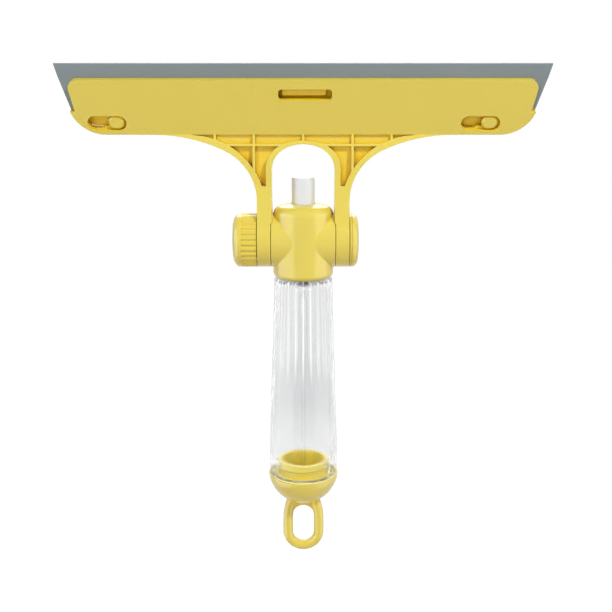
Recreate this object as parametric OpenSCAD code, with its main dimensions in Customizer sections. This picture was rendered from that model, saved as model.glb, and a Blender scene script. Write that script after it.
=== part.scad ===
// Window squeegee: a tilting head with blade and washing pad on a clear bottle handle with a mist pump.
// Millimetres. +Z runs up the handle, +X along the blade, -Y is the ribbed front of the head.
// Z = 0 is the middle of the straight grip band near the bottle's end.

/* [Blade] */
// Length of the wiping edge
blade_len = 250; // [180:2:360]
// Thickness of the rubber where the head plate carries it
blade_t = 1.8; // [1.2:0.1:3]
// Thickness of the wiping edge
blade_lip_t = 1; // [0.5:0.1:1.2]
// Slope height of the wiping edge above the plate's root
blade_top = 40.4; // [36:0.2:48]
// Slope height at which the blade's ends begin
blade_low = 16.4; // [14:0.2:20]

/* [Head plate] */
// Lean of the plate towards the front
plate_lean = 22; // [5:1:35]
// Thickness of the plate in front of the blade
plate_t = 3.2; // [2.4:0.1:4]
// Slope height of the plate's upper edge
plate_top = 33.2; // [30:0.2:36]
// Slope height of the plate's lower edge
plate_low = 3.8; // [2:0.2:4.8]
// Splay of the plate's two ends
end_splay = 14; // [4:1:20]
// Splay of the upper plate's ends, in front of the blade
front_splay = 9.5; // [3:0.5:13]
// Width of rubber that shows beside the plate, at its lower end
strip_w = 2.6; // [1:0.1:5]
// Radius of the plate's lower corners
corner_low_r = 18; // [8:1:19]
// Radius of the plate's upper corners
corner_top_r = 4.5; // [1:0.5:8]
// Keys that hold the blade to the plate, on each side
blade_keys = 3; // [1:1:4]
// Radius of a blade key
blade_key_r = 1.5; // [1:0.1:2]
// Distance of the first blade keys from the middle
blade_key_x = 28; // [26:1:29]
// Spacing of the blade keys
blade_key_step = 28; // [18:1:28]

/* [Yoke] */
// Height of the plate's root above the tilt axis
root_h = 52; // [50:0.5:60]
// Distance of the web's front face before the tilt axis
web_front = 2; // [1:0.2:3]
// Thickness of the web
web_t = 2.8; // [1.6:0.2:4]
// Depth of the arms, front to back
arm_depth = 12; // [8:0.5:14]
// Height above the axis at which the arms' faces begin to lean
knee_h = 44; // [38:0.5:47]
// Distance of the arms' inner faces from the middle
arm_in = 16.45; // [16.4:0.05:20]
// Width of an arm
arm_w = 7.7; // [6:0.1:10]
// Radius where the arm turns outward
neck_r = 29; // [20:0.5:36]
// Height above the axis at which that turn starts
neck_h = 21.2; // [16:0.2:24]
// Radius of the long sweep below the plate
sweep_r = 86.8; // [70:0.2:110]
// Height above the axis of the arch between the arms
arch_h = 50.75; // [49:0.25:51]
// Radius of the arch's crown
arch_crown_r = 21.5; // [18:0.5:26]
// Radius of the arch's haunches
arch_haunch_r = 12.8; // [9:0.2:14]
// Thickness of the arch's flange at its crown
crown_flange = 1.9; // [1:0.1:2.5]
// Thickness of the arch's flange at its haunches
haunch_flange = 3; // [2.4:0.1:5]
// Thickness of the outer flange below the plate
sweep_flange = 2.2; // [1.4:0.1:3]
// Thickness of the outer flange at the pocket's lower end
tip_flange = 3.7; // [3:0.1:4.6]
// Height above the axis of the pocket's lower end
tip_h = 29.2; // [27:0.1:33]
// Thickness of the ribs
rib_t = 1.3; // [0.8:0.1:2]
// Height above the axis of the cross rib's upper face
cross_rib_h = 51; // [50.2:0.1:51.6]
// Distance of the long gussets from the middle
gusset_x = 25.6; // [22:0.2:32]
// Distance of the short gussets from the middle
short_gusset_x = 45.8; // [40:0.2:50]

/* [Tilt pivot] */
// Height of the tilt axis above the grip band's middle
pivot_h = 124.5; // [110:0.5:160]
// Radius of the eyes, knob and end cap
eye_r = 14.2; // [12:0.1:15]
// Depth of the recess in each eye's inner face
eye_recess = 0.65; // [0.4:0.05:1]
// Radius of the spigots that carry the eyes
spigot_r = 7; // [5:0.1:8]
// Radius of the locking knob's stud
stud_r = 2.5; // [1.5:0.1:3]
// Wall of the brass insert
insert_wall = 1.4; // [0.8:0.1:2]
// Length of the brass insert
insert_len = 11; // [6:0.5:12]
// Distance of the stud's head from the knob's inner face
stud_seat = 6.5; // [5:0.5:7]
// Thickness of the stud's head
stud_head_t = 3; // [2:0.1:3.5]
// Radius of the stud's head, over its corners
stud_head_r = 4.2; // [3.6:0.1:5.5]
// Length of the knob
knob_len = 12.8; // [10:0.2:18]
// Rounding of the knob's outer edge, along its axis
knob_round = 3.4; // [1:0.2:5]
// Rounding of the knob's outer edge, across its axis
knob_crown = 6; // [3:0.2:8]
// Number of grip flutes round the knob
knob_flutes = 30; // [12:1:40]
// Length of the grip flutes
knob_flute_len = 7.9; // [4:0.1:9]
// Radius of a grip flute
knob_flute_r = 1; // [0.6:0.05:1.2]
// Share of that radius by which the flute's centre lies outside the knob
knob_flute_out = 0.2; // [0:0.05:0.6]
// Thickness of the friction washer
washer_t = 0.8; // [0.5:0.1:1.5]
// Radius of the friction washer
washer_r = 12; // [9:0.1:12.4]
// Length of the end cap
cap_len = 4.7; // [4:0.1:9]
// Rounding of the end cap, along its axis
cap_round = 3.2; // [1:0.1:3.5]
// Rounding of the end cap, across its axis
cap_crown = 5; // [2:0.2:8]
// Wall of the end cap
cap_wall = 1.6; // [1.2:0.1:2.4]
// Length of the end cap's rim, up to its seam
cap_rim = 0.8; // [0.5:0.1:1.5]
// Width and depth of that seam
cap_seam = 0.35; // [0.2:0.05:0.6]
// Radius of the pivot screw
screw_r = 1.9; // [1.2:0.1:2.5]
// Length of the pivot screw below its head
screw_len = 12; // [8:0.5:12]

/* [Body] */
// Radius of the upright body
body_r = 16.1; // [14.5:0.1:16.1]
// Height of the body's top above the tilt axis
body_top = 20; // [17:0.5:24]
// Depth of the body's foot below the tilt axis
body_foot = 20.2; // [18:0.2:26]
// Rounding of the body's shoulder
shoulder_r = 5.5; // [2:0.5:7]
// Radius of the slight dome of the body's top
dome_r = 60; // [40:5:200]
// Rounding of the body's foot
foot_r = 3.4; // [1:0.2:3.6]
// Radius of the cross barrel at its middle
barrel_r = 15.1; // [14.4:0.1:15.6]

/* [Mist pump] */
// Radius of the button
button_r = 6.1; // [5:0.1:7]
// Height of the button's top above the tilt axis
button_top = 33.3; // [28:0.1:40]
// Height of the button
button_len = 23; // [18:0.5:24]
// Depth of the finger dish in the button
dish = 0.8; // [0.2:0.1:1.5]
// Stroke of the pump
stroke = 4.5; // [3:0.1:5]
// Room below the pressed button in the body's well
well_room = 7.5; // [5:0.5:9]
// Depth of the socket for the stem in the button
socket_len = 14; // [10:0.5:15]
// Depth of the spray jet below the button's top
jet_drop = 5.8; // [5:0.1:7]
// Radius of the nozzle insert
jet_r = 1.9; // [1.5:0.1:2.4]
// Length of the nozzle insert's seat
jet_t = 1.6; // [1.2:0.1:2]
// Depth of the neck's ceiling below the tilt axis
neck_ceiling = 5; // [4.6:0.1:6]
// Radius of the pump's stem
stem_r = 1.7; // [1.4:0.1:2.2]
// Radius of the stem's bore
stem_bore_r = 0.7; // [0.4:0.1:1]
// Bore radius of the pump's barrel
barrel_bore_r = 3.35; // [2.8:0.05:4]
// Wall of the pump's barrel
barrel_wall = 0.95; // [0.7:0.05:1.4]
// Length of the pump's barrel
pump_len = 19; // [17:0.5:24]
// Gap above the resting piston
piston_rest = 1.5; // [0.5:0.1:3]
// Length of the pump's piston
piston_len = 4; // [3:0.1:5]
// Thickness of the piston's floor, below the stem
piston_floor = 1; // [0.6:0.1:1.4]
// Length of the pump's nipple for the dip tube
nipple_len = 6; // [4:0.5:8]
// Radius of the pump's flange
flange_r = 9.5; // [8:0.1:10.2]
// Thickness of the pump's flange
flange_t = 1.5; // [1:0.1:2]
// Thickness of the flange gasket
gasket_t = 1; // [0.6:0.1:1.5]
// Radius of the inlet ball
ball_r = 1.3; // [1:0.05:1.5]
// Lift of the inlet ball
ball_lift = 0.8; // [0.4:0.1:1]
// Radius of the spring's wire
wire_r = 0.3; // [0.2:0.05:0.4]
// Number of turns in the spring
spring_turns = 6; // [4:1:7]
// Radius of the dip tube
dip_r = 1.1; // [0.9:0.1:1.4]
// Wall of the dip tube
dip_wall = 0.35; // [0.25:0.05:0.5]
// Gap between the dip tube's end and the cup's floor
dip_gap = 3; // [1:0.5:6]

/* [Bottle] */
// Radius of the bottle just below the body
bottle_top_r = 15.55; // [14:0.05:15.8]
// Radius of the straight grip band
band_r = 18.95; // [17:0.05:20]
// Length of the grip band
band_len = 13; // [8:0.5:20]
// Wall of the bottle
bottle_wall = 1.8; // [1.2:0.1:2.4]
// Radius of the bottle's neck
neck_outer_r = 12.6; // [11:0.1:12.8]
// Bore radius of the bottle's neck
neck_bore_r = 10.4; // [9.6:0.1:11]
// Number of flutes round the bottle
flutes = 24; // [12:1:30]
// Length of the flutes
flute_len = 57; // [20:1:90]
// Depth of the flutes at the top
flute_depth = 0.55; // [0.2:0.05:0.8]
// Radius of the flute's hollow
flute_r = 2.4; // [1.8:0.1:4]
// Bore radius of the bottle's lower mouth
mouth_r = 14.1; // [12:0.1:15.5]
// Height of the thick ring round the lower mouth
mouth_len = 6.5; // [4:0.5:9]

/* [Base cap and loop] */
// Radius of the round bowl
bowl_r = 19.5; // [18.9:0.1:22]
// Height of the bowl's centre above the bottle's end
bowl_rise = 1.5; // [0:0.1:3]
// Thickness of the bottle seal
seal_t = 0.8; // [0.5:0.1:1.5]
// Height of the cup above its ledge
cup_len = 8.2; // [5:0.1:12]
// Wall of the cup
cup_wall = 2.1; // [1.4:0.1:3]
// Depth of the cup below its ledge
cup_depth = 13; // [6:0.5:13]
// Radius of the loop's round bar
bar_r = 2.75; // [2:0.05:3.2]
// Distance of the loop's bars from the middle
loop_half = 8.7; // [7:0.1:11]
// Length of the loop's sides
loop_len = 10.1; // [4:0.1:20]
// Length at the upper end of those sides in which the bars begin to close in
loop_bend = 3; // [1:0.5:4]
// Radius at which the bars close in towards the bowl
loop_close_r = 35; // [28:1:60]
// Distance of the loop's upper centre below the bowl's centre
loop_drop = 26.5; // [24:0.5:30]

/* [Washing pad] */
// Length of the pad carrier
carrier_len = 224; // [160:2:226]
// Slope height of the carrier's lower edge
carrier_low = 6.6; // [6:0.1:7.4]
// Slope height of the carrier's upper edge
carrier_top = 30.4; // [28:0.1:32]
// Thickness of the carrier's plate
carrier_t = 2; // [1.4:0.1:3]
// Height of the carrier's rim
rim_h = 2.6; // [1:0.1:4]
// Thickness of the carrier's rim
rim_t = 1.6; // [1:0.1:2.4]
// Thickness of the foam
foam_t = 7.4; // [4:0.1:12]
// Thickness of the microfibre cover
cover_t = 2.6; // [1:0.1:5]
// Distance of the locking studs from the middle
lock_x = 96; // [60:1:100]
// Slope height of the locking studs
lock_h = 10.1; // [9.8:0.1:10.6]
// Length of a locking stud's head
lock_len = 8.4; // [7:0.1:9]
// Width of a locking stud's head
lock_w = 7.2; // [6:0.1:7.6]
// Width of a locking stud's stem
lock_stem = 4; // [3:0.1:5]
// Travel of the carrier from locked to free
lock_travel = 10; // [6:0.5:11]
// Depth at which the slot's ledge lies
ledge_depth = 2.4; // [1.8:0.1:3]
// Length of the thumb window
window_len = 27.2; // [20:0.2:36]
// Height of the thumb window
window_w = 5.7; // [4:0.1:7]
// Slope height of the thumb window's middle
window_h = 25.5; // [24:0.1:27]
// Length of the thumb bar
thumb_len = 22.4; // [12:0.2:26]
// Radius of the thumb bar's corners
thumb_r = 1; // [0.4:0.1:2]
// Height of the thumb bar above the window's middle
thumb_rise = 0.9; // [0:0.1:1]
// Radius of the thumb window's corners
window_r = 1.6; // [0.6:0.1:1.9]

/* [Fits] */
// Radial gap of a running fit
run_gap = 0.05; // [0.02:0.01:0.1]
// Gap between parts that move past each other
free_gap = 0.3; // [0.2:0.05:0.6]
// Play of a locking stud in its slot
lock_gap = 0.7; // [0.5:0.05:0.9]
// Depth of a locking stud's face behind the plate's front
lock_face = 0.4; // [0.1:0.05:0.6]
// Bevel of a locking stud's face
lock_bevel = 0.9; // [0.3:0.05:1.1]
// Gap round the button in the body's well
well_gap = 0.4; // [0.3:0.05:1]

/* [Hidden] */
$fn = 96;

yellow = "#e3d268";
white = "#eef0f2";
brass = "#c8a24a";
steel = "#b9bcc0";

slab_t = plate_t + blade_t;            // the plate below the blade's ends
arm_out = arm_in + arm_w;              // outer face of an arm
eye_in = arm_in + eye_recess;          // inner face of an eye, inside its recess
barrel_half = eye_in - free_gap;       // half length of the body's cross barrel
half_y = arm_depth / 2;
seat = 0.6;                            // how far a moulded piece runs into the one that it grows from
eps = 0.01;
far = 60;                              // reach of cutting tools

// ---- curves ------------------------------------------------------------------------------

// Points along an arc, both ends included
function arc(c, r, from, to, n) =
    [for (i = [0:n]) let (a = from + (to - from) * i / n) c + r * [cos(a), sin(a)]];
function flip(pts) = [for (i = [len(pts) - 1:-1:0]) [-pts[i][0], pts[i][1]]];
function reverse(pts) = [for (i = [len(pts) - 1:-1:0]) pts[i]];
function heading(v) = atan2(v[1], v[0]);
// Centre of the circle through three points
function centre3(a, b, c) =
    let (d = 2 * (a[0] * (b[1] - c[1]) + b[0] * (c[1] - a[1]) + c[0] * (a[1] - b[1])))
    [(a * a * (b[1] - c[1]) + b * b * (c[1] - a[1]) + c * c * (a[1] - b[1])) / d,
     (a * a * (c[0] - b[0]) + b * b * (a[0] - c[0]) + c * c * (b[0] - a[0])) / d];

// A point of the plate: slope height t, depth d behind its front face, as [y, z] from the axis
function on_slope(t, d) =
    [-web_front - t * sin(plate_lean) + d * cos(plate_lean),
     root_h + t * cos(plate_lean) + d * sin(plate_lean)];
plate_foot_z = on_slope(plate_low, 0)[1];

// Outer edge of the yoke: a tight turn, then a long sweep that meets the plate's lower edge
turn_c = [arm_out + neck_r, neck_h];
sweep_c = [turn_c[0] + sqrt(pow(sweep_r - neck_r, 2) - pow(plate_foot_z - sweep_r - neck_h, 2)),
           plate_foot_z - sweep_r];
meet_a = heading(turn_c - sweep_c);
sweep_pts = concat(arc(turn_c, neck_r, 180, meet_a, 10), arc(sweep_c, sweep_r, meet_a, 90, 8));

// An arch of two haunches and a crown, from the right springing to the left one
function arch(half, top, haunch, crown) =
    let (hx = half - haunch, cz = top - crown, hz = cz + sqrt(pow(crown - haunch, 2) - hx * hx),
         a = heading([hx, hz - cz]))
    concat(arc([hx, hz], haunch, 0, a, 7), arc([0, cz], crown, a, 180 - a, 8),
           arc([-hx, hz], haunch, 180 - a, 180, 7));
arch_pts = arch(arm_in, arch_h, arch_haunch_r, arch_crown_r);

// Pocket between the flanges: its outer curve runs through three offsets of the yoke's edge
pocket_top = plate_foot_z + 1.5;                  // inside the plate, whose foot closes the pockets
pocket_a = 46;                                    // part of the sweep that the long curve takes
long_a = meet_a - (meet_a - 90) * pocket_a / 100;
p_top = sweep_c + (sweep_r + sweep_flange) * [cos(long_a), sin(long_a)];
mid_a = (meet_a + 180) / 2 - 10;
p_mid = turn_c + (neck_r + (sweep_flange + tip_flange) / 2) * [cos(mid_a), sin(mid_a)];
tip_out = turn_c[0] - sqrt(pow(neck_r, 2) - pow(tip_h - neck_h, 2));
p_tip = [tip_out - tip_flange, tip_h];
long_c = centre3(p_top, p_mid, p_tip);
long_r = norm(p_tip - long_c);
end_r = sweep_r + sweep_flange;
end_a = 90 + acos((pocket_top - sweep_c[1]) / end_r);
pocket_half = concat(
    arc(sweep_c, end_r, end_a, long_a, 6),
    arc(long_c, long_r, heading(p_top - long_c), heading(p_tip - long_c), 12));
pocket_arch = arch(arm_in + haunch_flange, arch_h + crown_flange, arch_haunch_r + 0.4,
                   arch_crown_r + 8);
pocket_foot = [[arm_in + haunch_flange, tip_h]];
pocket_pts = concat(pocket_half, pocket_foot, pocket_arch, flip(pocket_foot), flip(pocket_half));

// Plate outlines in slope coordinates [x, t]
tip_half = blade_len / 2;
end_x0 = tip_half - (blade_top - blade_low) * tan(end_splay);
function end_x(t) = end_x0 + (t - blade_low) * tan(end_splay);
function front_x(t) = end_x0 - strip_w + (t - blade_low) * tan(front_splay);
low_c = [end_x(plate_low + corner_low_r) - corner_low_r / cos(end_splay), plate_low + corner_low_r];
low_end = min(-end_splay, asin(max(-1, (blade_low - low_c[1]) / corner_low_r)));
low_arc = arc(low_c, corner_low_r, -90, low_end, 12);
slab_half = low_end < -end_splay ? low_arc : concat(low_arc, [[end_x(blade_low), blade_low]]);
top_c = [front_x(plate_top - corner_top_r) - corner_top_r / cos(front_splay), plate_top - corner_top_r];
front_half = concat([[front_x(blade_low - 1), blade_low - 1]],
                    arc(top_c, corner_top_r, -front_splay, 90, 8));

// ---- placing -----------------------------------------------------------------------------

module at_pivot() translate([0, 0, pivot_h]) children();
// Local x along the blade, y into the plate from its front face, z up the slope
module on_plate() at_pivot() translate([0, -web_front, root_h]) rotate([plate_lean, 0, 0]) children();
// Turns a flat outline [x, z] into a slab from depth y0 to y1
module slab(y0, y1) translate([0, y1, 0]) rotate([90, 0, 0]) linear_extrude(y1 - y0) children();
// Turns a flat outline [y, z] into a bar from x0 to x1
module bar(x0, x1) translate([x0, 0, 0]) rotate([90, 0, 90]) linear_extrude(x1 - x0) children();
// A cylinder along x from x0 to x1
module rod(r, x0, x1) translate([x0, 0, 0]) rotate([0, 90, 0]) cylinder(r = r, h = x1 - x0);
// A revolved outline [radius, x] about the x axis
module turned(pts) rotate([0, 90, 0]) rotate_extrude() polygon(pts);
module both_sides() { children(); mirror([1, 0, 0]) children(); }
// A flat slot with round ends
module slot2d(len, w) {
    square([len - w, w], center = true);
    for (s = [-1, 1]) translate([s * (len - w) / 2, 0]) circle(d = w);
}
module round_rect(len, w, r) {
    polygon(concat(arc([len / 2 - r, w / 2 - r], r, 0, 90, 5), arc([r - len / 2, w / 2 - r], r, 90, 180, 5),
                   arc([r - len / 2, r - w / 2], r, 180, 270, 5), arc([len / 2 - r, r - w / 2], r, 270, 360, 5)));
}

// ---- head --------------------------------------------------------------------------------

yoke_pts = concat(
    [[sweep_c[0], root_h + far / 4]], reverse(sweep_pts), [[arm_out, 0], [arm_in, 0]],
    arch_pts, [[-arm_in, 0], [-arm_out, 0]], [for (p = sweep_pts) [-p[0], p[1]]],
    [[-sweep_c[0], root_h + far / 4]]);
flare_a = 36;                                    // where the arm's flare leaves the eye's rim
eye_flare = (eye_r - seat) * cos(flare_a);
flare_z = (eye_r - seat) * sin(flare_a);
flare_top = 2 * eye_r;
yoke_side = [[-eye_flare, 0], [-eye_flare, flare_z], [-half_y, flare_top], [-half_y, knee_h],
             on_slope(plate_low + 1, seat), on_slope(plate_low + 3, slab_t / 2),
             on_slope(plate_low + 1, slab_t - seat), [half_y, knee_h], [half_y, flare_top],
             [eye_flare, flare_z], [eye_flare, 0]];
web_back = web_t - web_front;
back_pocket_top = root_h - web_t;

module gussets() {
    translate([-far * 2, cross_rib_h - rib_t]) square([far * 4, rib_t]);
    for (x = [-short_gusset_x, -gusset_x, gusset_x, short_gusset_x])
        translate([x - rib_t / 2, 0]) square([rib_t, far * 2]);
    translate([-rib_t / 2, cross_rib_h - rib_t]) square([rib_t, far]);
}
module pockets() slab(-far, far) difference() { polygon(pocket_pts); gussets(); }

// The locking slot's ends, measured from the locked stud towards its entry and away from it
slot_in = -(lock_travel + lock_len / 2 + lock_gap);
slot_out = lock_len / 2 + lock_gap + free_gap;
stem_len = lock_stem + 0.5;
module lock_slot() translate([0, 0, lock_h]) {
    translate([(slot_in + slot_out) / 2, 0, 0]) slab(-1, ledge_depth)
        slot2d(slot_out - slot_in, lock_w + lock_gap);
    translate([-lock_travel, 0, 0]) slab(ledge_depth - 1, slab_t + 1)
        slot2d(lock_len + 2 * lock_gap - 0.3, lock_w + lock_gap - 0.3);
    translate([-lock_travel / 2, 0, 0]) slab(ledge_depth - 1, slab_t + 1)
        slot2d(lock_travel + stem_len + 2 * free_gap, lock_stem + 2 * free_gap);
}

module plate() {
    slab(0, slab_t) polygon(concat(slab_half, flip(slab_half)));
    slab(0, plate_t) polygon(concat(front_half, flip(front_half)));
    for (p = blade_key_at) translate([p[0], 0, p[1]]) slab(plate_t - eps, slab_t) circle(r = blade_key_r);
}

// The web's front and rear pockets and the arms' eyes, below the plate
module yoke() difference() {
    union() {
        intersection() {
            slab(-far, far) polygon(yoke_pts);
            bar(-2 * far, 2 * far) polygon(yoke_side);
        }
        both_sides() rod(eye_r, arm_in, arm_out);
    }
    intersection() {
        pockets();
        union() {
            bar(-2 * far, 2 * far) polygon([[-far, 0], [-web_front, 0], [-web_front, far + root_h],
                [-far, far + root_h]]);
            bar(-2 * far, 2 * far) polygon([[web_back, 0], [far, 0], [far, back_pocket_top],
                [web_back, back_pocket_top]]);
        }
    }
    rod(eye_r + free_gap, -eye_in, eye_in);
    rod(spigot_r + run_gap, -far, far);
}

module head_yoke() color(yellow) difference() {
    union() {
        on_plate() plate();
        at_pivot() yoke();
    }
    on_plate() {
        translate([window_x, 0, window_h]) slab(-1, slab_t + 1) round_rect(window_len, window_w, window_r);
        for (x = [-lock_x, lock_x]) translate([x, 0, 0]) lock_slot();
    }
}
window_x = 1;
notch_len = max(window_len, thumb_len) + lock_travel + 2;   // the blade's notch, in which the thumb bar travels
blade_key_h = blade_low + 4;
blade_key_at = [for (s = [-1, 1], i = [0:blade_keys - 1]) [s * (blade_key_x + i * blade_key_step), blade_key_h]];

module squeegee_blade() color("#8b979f") on_plate() difference() {
    intersection() {
        slab(plate_t, slab_t + 1) polygon([[-end_x(blade_low), blade_low], [end_x(blade_low), blade_low],
            [tip_half, blade_top], [-tip_half, blade_top]]);
        bar(-2 * tip_half, 2 * tip_half) polygon([[plate_t, 0], [slab_t, 0], [slab_t, blade_top],
            [slab_t - blade_lip_t, blade_top], [plate_t, plate_top + 1]]);
    }
    for (p = blade_key_at) translate([p[0], 0, p[1]]) slab(0, slab_t + 2) circle(r = blade_key_r + run_gap);
    translate([window_x - lock_travel / 2, 0, window_h]) slab(0, slab_t + 2) {
        round_rect(notch_len, window_w + 2.2, window_r);
        translate([-notch_len / 2, -far]) square([notch_len, far]);
    }
}

// ---- washing pad -------------------------------------------------------------------------

carrier_y = slab_t + free_gap;
carrier_mid = (carrier_low + carrier_top) / 2;
carrier_h = carrier_top - carrier_low;
carrier_r = 5;
foam_y = carrier_y + carrier_t;
cover_back = foam_y + foam_t;
module pad_outline(grow) round_rect(carrier_len + 2 * grow, carrier_h + 2 * grow, carrier_r + grow);

// A locking stud: a head with a bevelled face on a narrower stem
module lock_stud() {
    half = (lock_len - lock_w) / 2;
    rise = lock_bevel;
    slab(lock_face + rise - eps, ledge_depth - free_gap) slot2d(lock_len, lock_w);
    for (s = [-1, 1]) translate([s * half, lock_face, 0]) rotate([-90, 0, 0])
        cylinder(r1 = lock_w / 2 - rise, r2 = lock_w / 2, h = rise);
    bar(-half, half) polygon([[lock_face, rise - lock_w / 2], [lock_face + rise, -lock_w / 2],
        [lock_face + rise, lock_w / 2], [lock_face, lock_w / 2 - rise]]);
    slab(ledge_depth - free_gap - eps, carrier_y + eps) slot2d(stem_len, lock_stem);
}

module pad_carrier() color(yellow) on_plate() {
    translate([0, 0, carrier_mid]) {
        slab(carrier_y, foam_y) pad_outline(0);
        slab(foam_y - eps, foam_y + rim_h) difference() { pad_outline(0); pad_outline(-rim_t); }
    }
    for (x = [-lock_x, lock_x]) translate([x, 0, lock_h]) lock_stud();
    translate([window_x - 0.5, 0, thumb_h]) slab(plate_t + free_gap, carrier_y + eps)
        round_rect(thumb_len, thumb_w, thumb_r);
}
thumb_w = window_w - 2 * free_gap;
thumb_h = window_h + thumb_rise;

module pad_foam() color("#d9dde2") on_plate() translate([0, 0, carrier_mid])
    slab(foam_y, cover_back) pad_outline(-rim_t);

module microfibre_cover() color("#e8e6da") on_plate() translate([0, 0, carrier_mid]) difference() {
    slab(carrier_y + carrier_t / 2, cover_back + cover_t) pad_outline(cover_t);
    slab(carrier_y - 1, foam_y + rim_h) pad_outline(0);
    slab(foam_y, cover_back) pad_outline(-rim_t);
}

// ---- body --------------------------------------------------------------------------------

dome_a = asin((body_r - shoulder_r) / (dome_r - shoulder_r));   // where the shoulder meets the dome
shoulder_h = body_top - dome_r + (dome_r - shoulder_r) * cos(dome_a);
well_r = button_r + well_gap;
floor_top = button_top - button_len - stroke - well_room;
collar_top = -neck_ceiling;
gasket_z = collar_top - flange_t - gasket_t;
collar_r = neck_outer_r + 0.15;
insert_r = stud_r + run_gap + insert_wall;
spigot_left = arm_out - 0.25;
spigot_right = arm_out + free_gap;
insert_x = -spigot_left;

module swivel_body() color(yellow) at_pivot() difference() {
    union() {
        rotate_extrude() polygon(concat([[0, -body_foot]], arc([body_r - foot_r, foot_r - body_foot],
            foot_r, -90, 0, 6), arc([body_r - shoulder_r, shoulder_h], shoulder_r, 0, 90 - dome_a, 9),
            arc([0, body_top - dome_r], dome_r, 90 - dome_a * 0.8, 90 - dome_a * 0.2, 3), [[0, body_top]]));
        turned([[0, -barrel_half], [eye_r, -barrel_half], [barrel_r, -barrel_half / 3],
            [barrel_r, barrel_half / 3], [eye_r, barrel_half], [0, barrel_half]]);
        rod(spigot_r, -spigot_left, spigot_right);
    }
    translate([0, 0, floor_top]) cylinder(r = well_r, h = far);
    translate([0, 0, collar_top - eps]) cylinder(r = turret_r, h = far);
    translate([0, 0, collar_top - far]) cylinder(r = collar_r, h = far);
    rod(insert_r, insert_x - 1, insert_x + insert_len);
    rod(stud_r + free_gap, insert_x + insert_len - eps, stud_tip + 0.5);
    rod(screw_r, spigot_right - screw_len, spigot_right + 1);
}

// ---- pivot hardware ----------------------------------------------------------------------

knob_x = -(arm_out + free_gap + 0.05);            // inner face of the knob
stud_tip = insert_x + insert_len + 1;
stud_head_x = knob_x - stud_seat;

module knob_solid() turned(concat([[0, knob_x], [eye_r, knob_x]],
    [for (a = [0:15:90]) [eye_r - knob_crown * (1 - cos(a)), knob_x - knob_len + knob_round * (1 - sin(a))]],
    [[0, knob_x - knob_len]]));

module locking_knob() color(yellow) at_pivot() difference() {
    knob_solid();
    rod(washer_r + 0.1, knob_x - washer_t, knob_x + 1);
    rod(stud_r, stud_head_x, knob_x + 1);
    rod(spigot_r + 0.4, knob_x - 2.2, knob_x + 1);
    translate([stud_head_x - stud_head_t, 0, 0]) rotate([0, 90, 0])
        cylinder(r = stud_head_r, h = stud_head_t + eps, $fn = 6);
    for (i = [0:knob_flutes - 1]) rotate([i * 360 / knob_flutes, 0, 0])
        translate([0, 0, eye_r + knob_flute_r * knob_flute_out]) rod(knob_flute_r, knob_x - knob_flute_len, knob_x + 1);
}

module knob_stud() color(brass) at_pivot() {
    rod(stud_r, stud_head_x - eps, stud_tip);
    translate([stud_head_x - stud_head_t, 0, 0]) rotate([0, 90, 0])
        cylinder(r = stud_head_r, h = stud_head_t, $fn = 6);
}

module threaded_insert() color(brass) at_pivot() difference() {
    rod(insert_r, insert_x, insert_x + insert_len);
    rod(stud_r + run_gap, insert_x - 1, insert_x + insert_len + 1);
}

module friction_washer() color("#5a5d60") at_pivot() difference() {
    rod(washer_r, knob_x - washer_t, knob_x);
    rod(spigot_r + 0.4, knob_x - washer_t - 1, knob_x + 1);
}

cap_x = arm_out + free_gap + 0.05;
plate_washer_t = 1.2;
screw_head_t = 2;
module retaining_washer() color(steel) at_pivot() difference() {
    rod(eye_r - cap_wall - 0.05, spigot_right, spigot_right + plate_washer_t);
    rod(screw_r + 0.1, spigot_right - 1, spigot_right + plate_washer_t + 1);
}
module pivot_screw() color(steel) at_pivot() {
    rod(screw_r, spigot_right - screw_len, spigot_right + plate_washer_t + eps);
    difference() {
        rod(2 * screw_r, spigot_right + plate_washer_t, spigot_right + plate_washer_t + screw_head_t);
        for (a = [0, 90]) rotate([a, 0, 0]) translate([spigot_right + plate_washer_t + screw_head_t - 1, -0.4, -screw_r])
            cube([2, 0.8, 2 * screw_r]);
    }
}
module pivot_end_cap() color(yellow) at_pivot() difference() {
    turned(concat([[0, cap_x], [eye_r, cap_x]],
        [for (a = [0:15:90]) [eye_r - cap_crown * (1 - cos(a)), cap_x + cap_len - cap_round * (1 - sin(a))]],
        [[0, cap_x + cap_len]]));
    rod(eye_r - cap_wall, cap_x - 1, spigot_right + plate_washer_t + 0.05);
    difference() {
        rod(eye_r + 1, cap_x + cap_rim, cap_x + cap_rim + cap_seam);
        rod(eye_r - cap_seam, cap_x, cap_x + cap_rim + 1);
    }
    rod(2 * screw_r + 1, cap_x - 1, spigot_right + plate_washer_t + screw_head_t + 0.2);
}

// ---- mist pump ---------------------------------------------------------------------------

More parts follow.
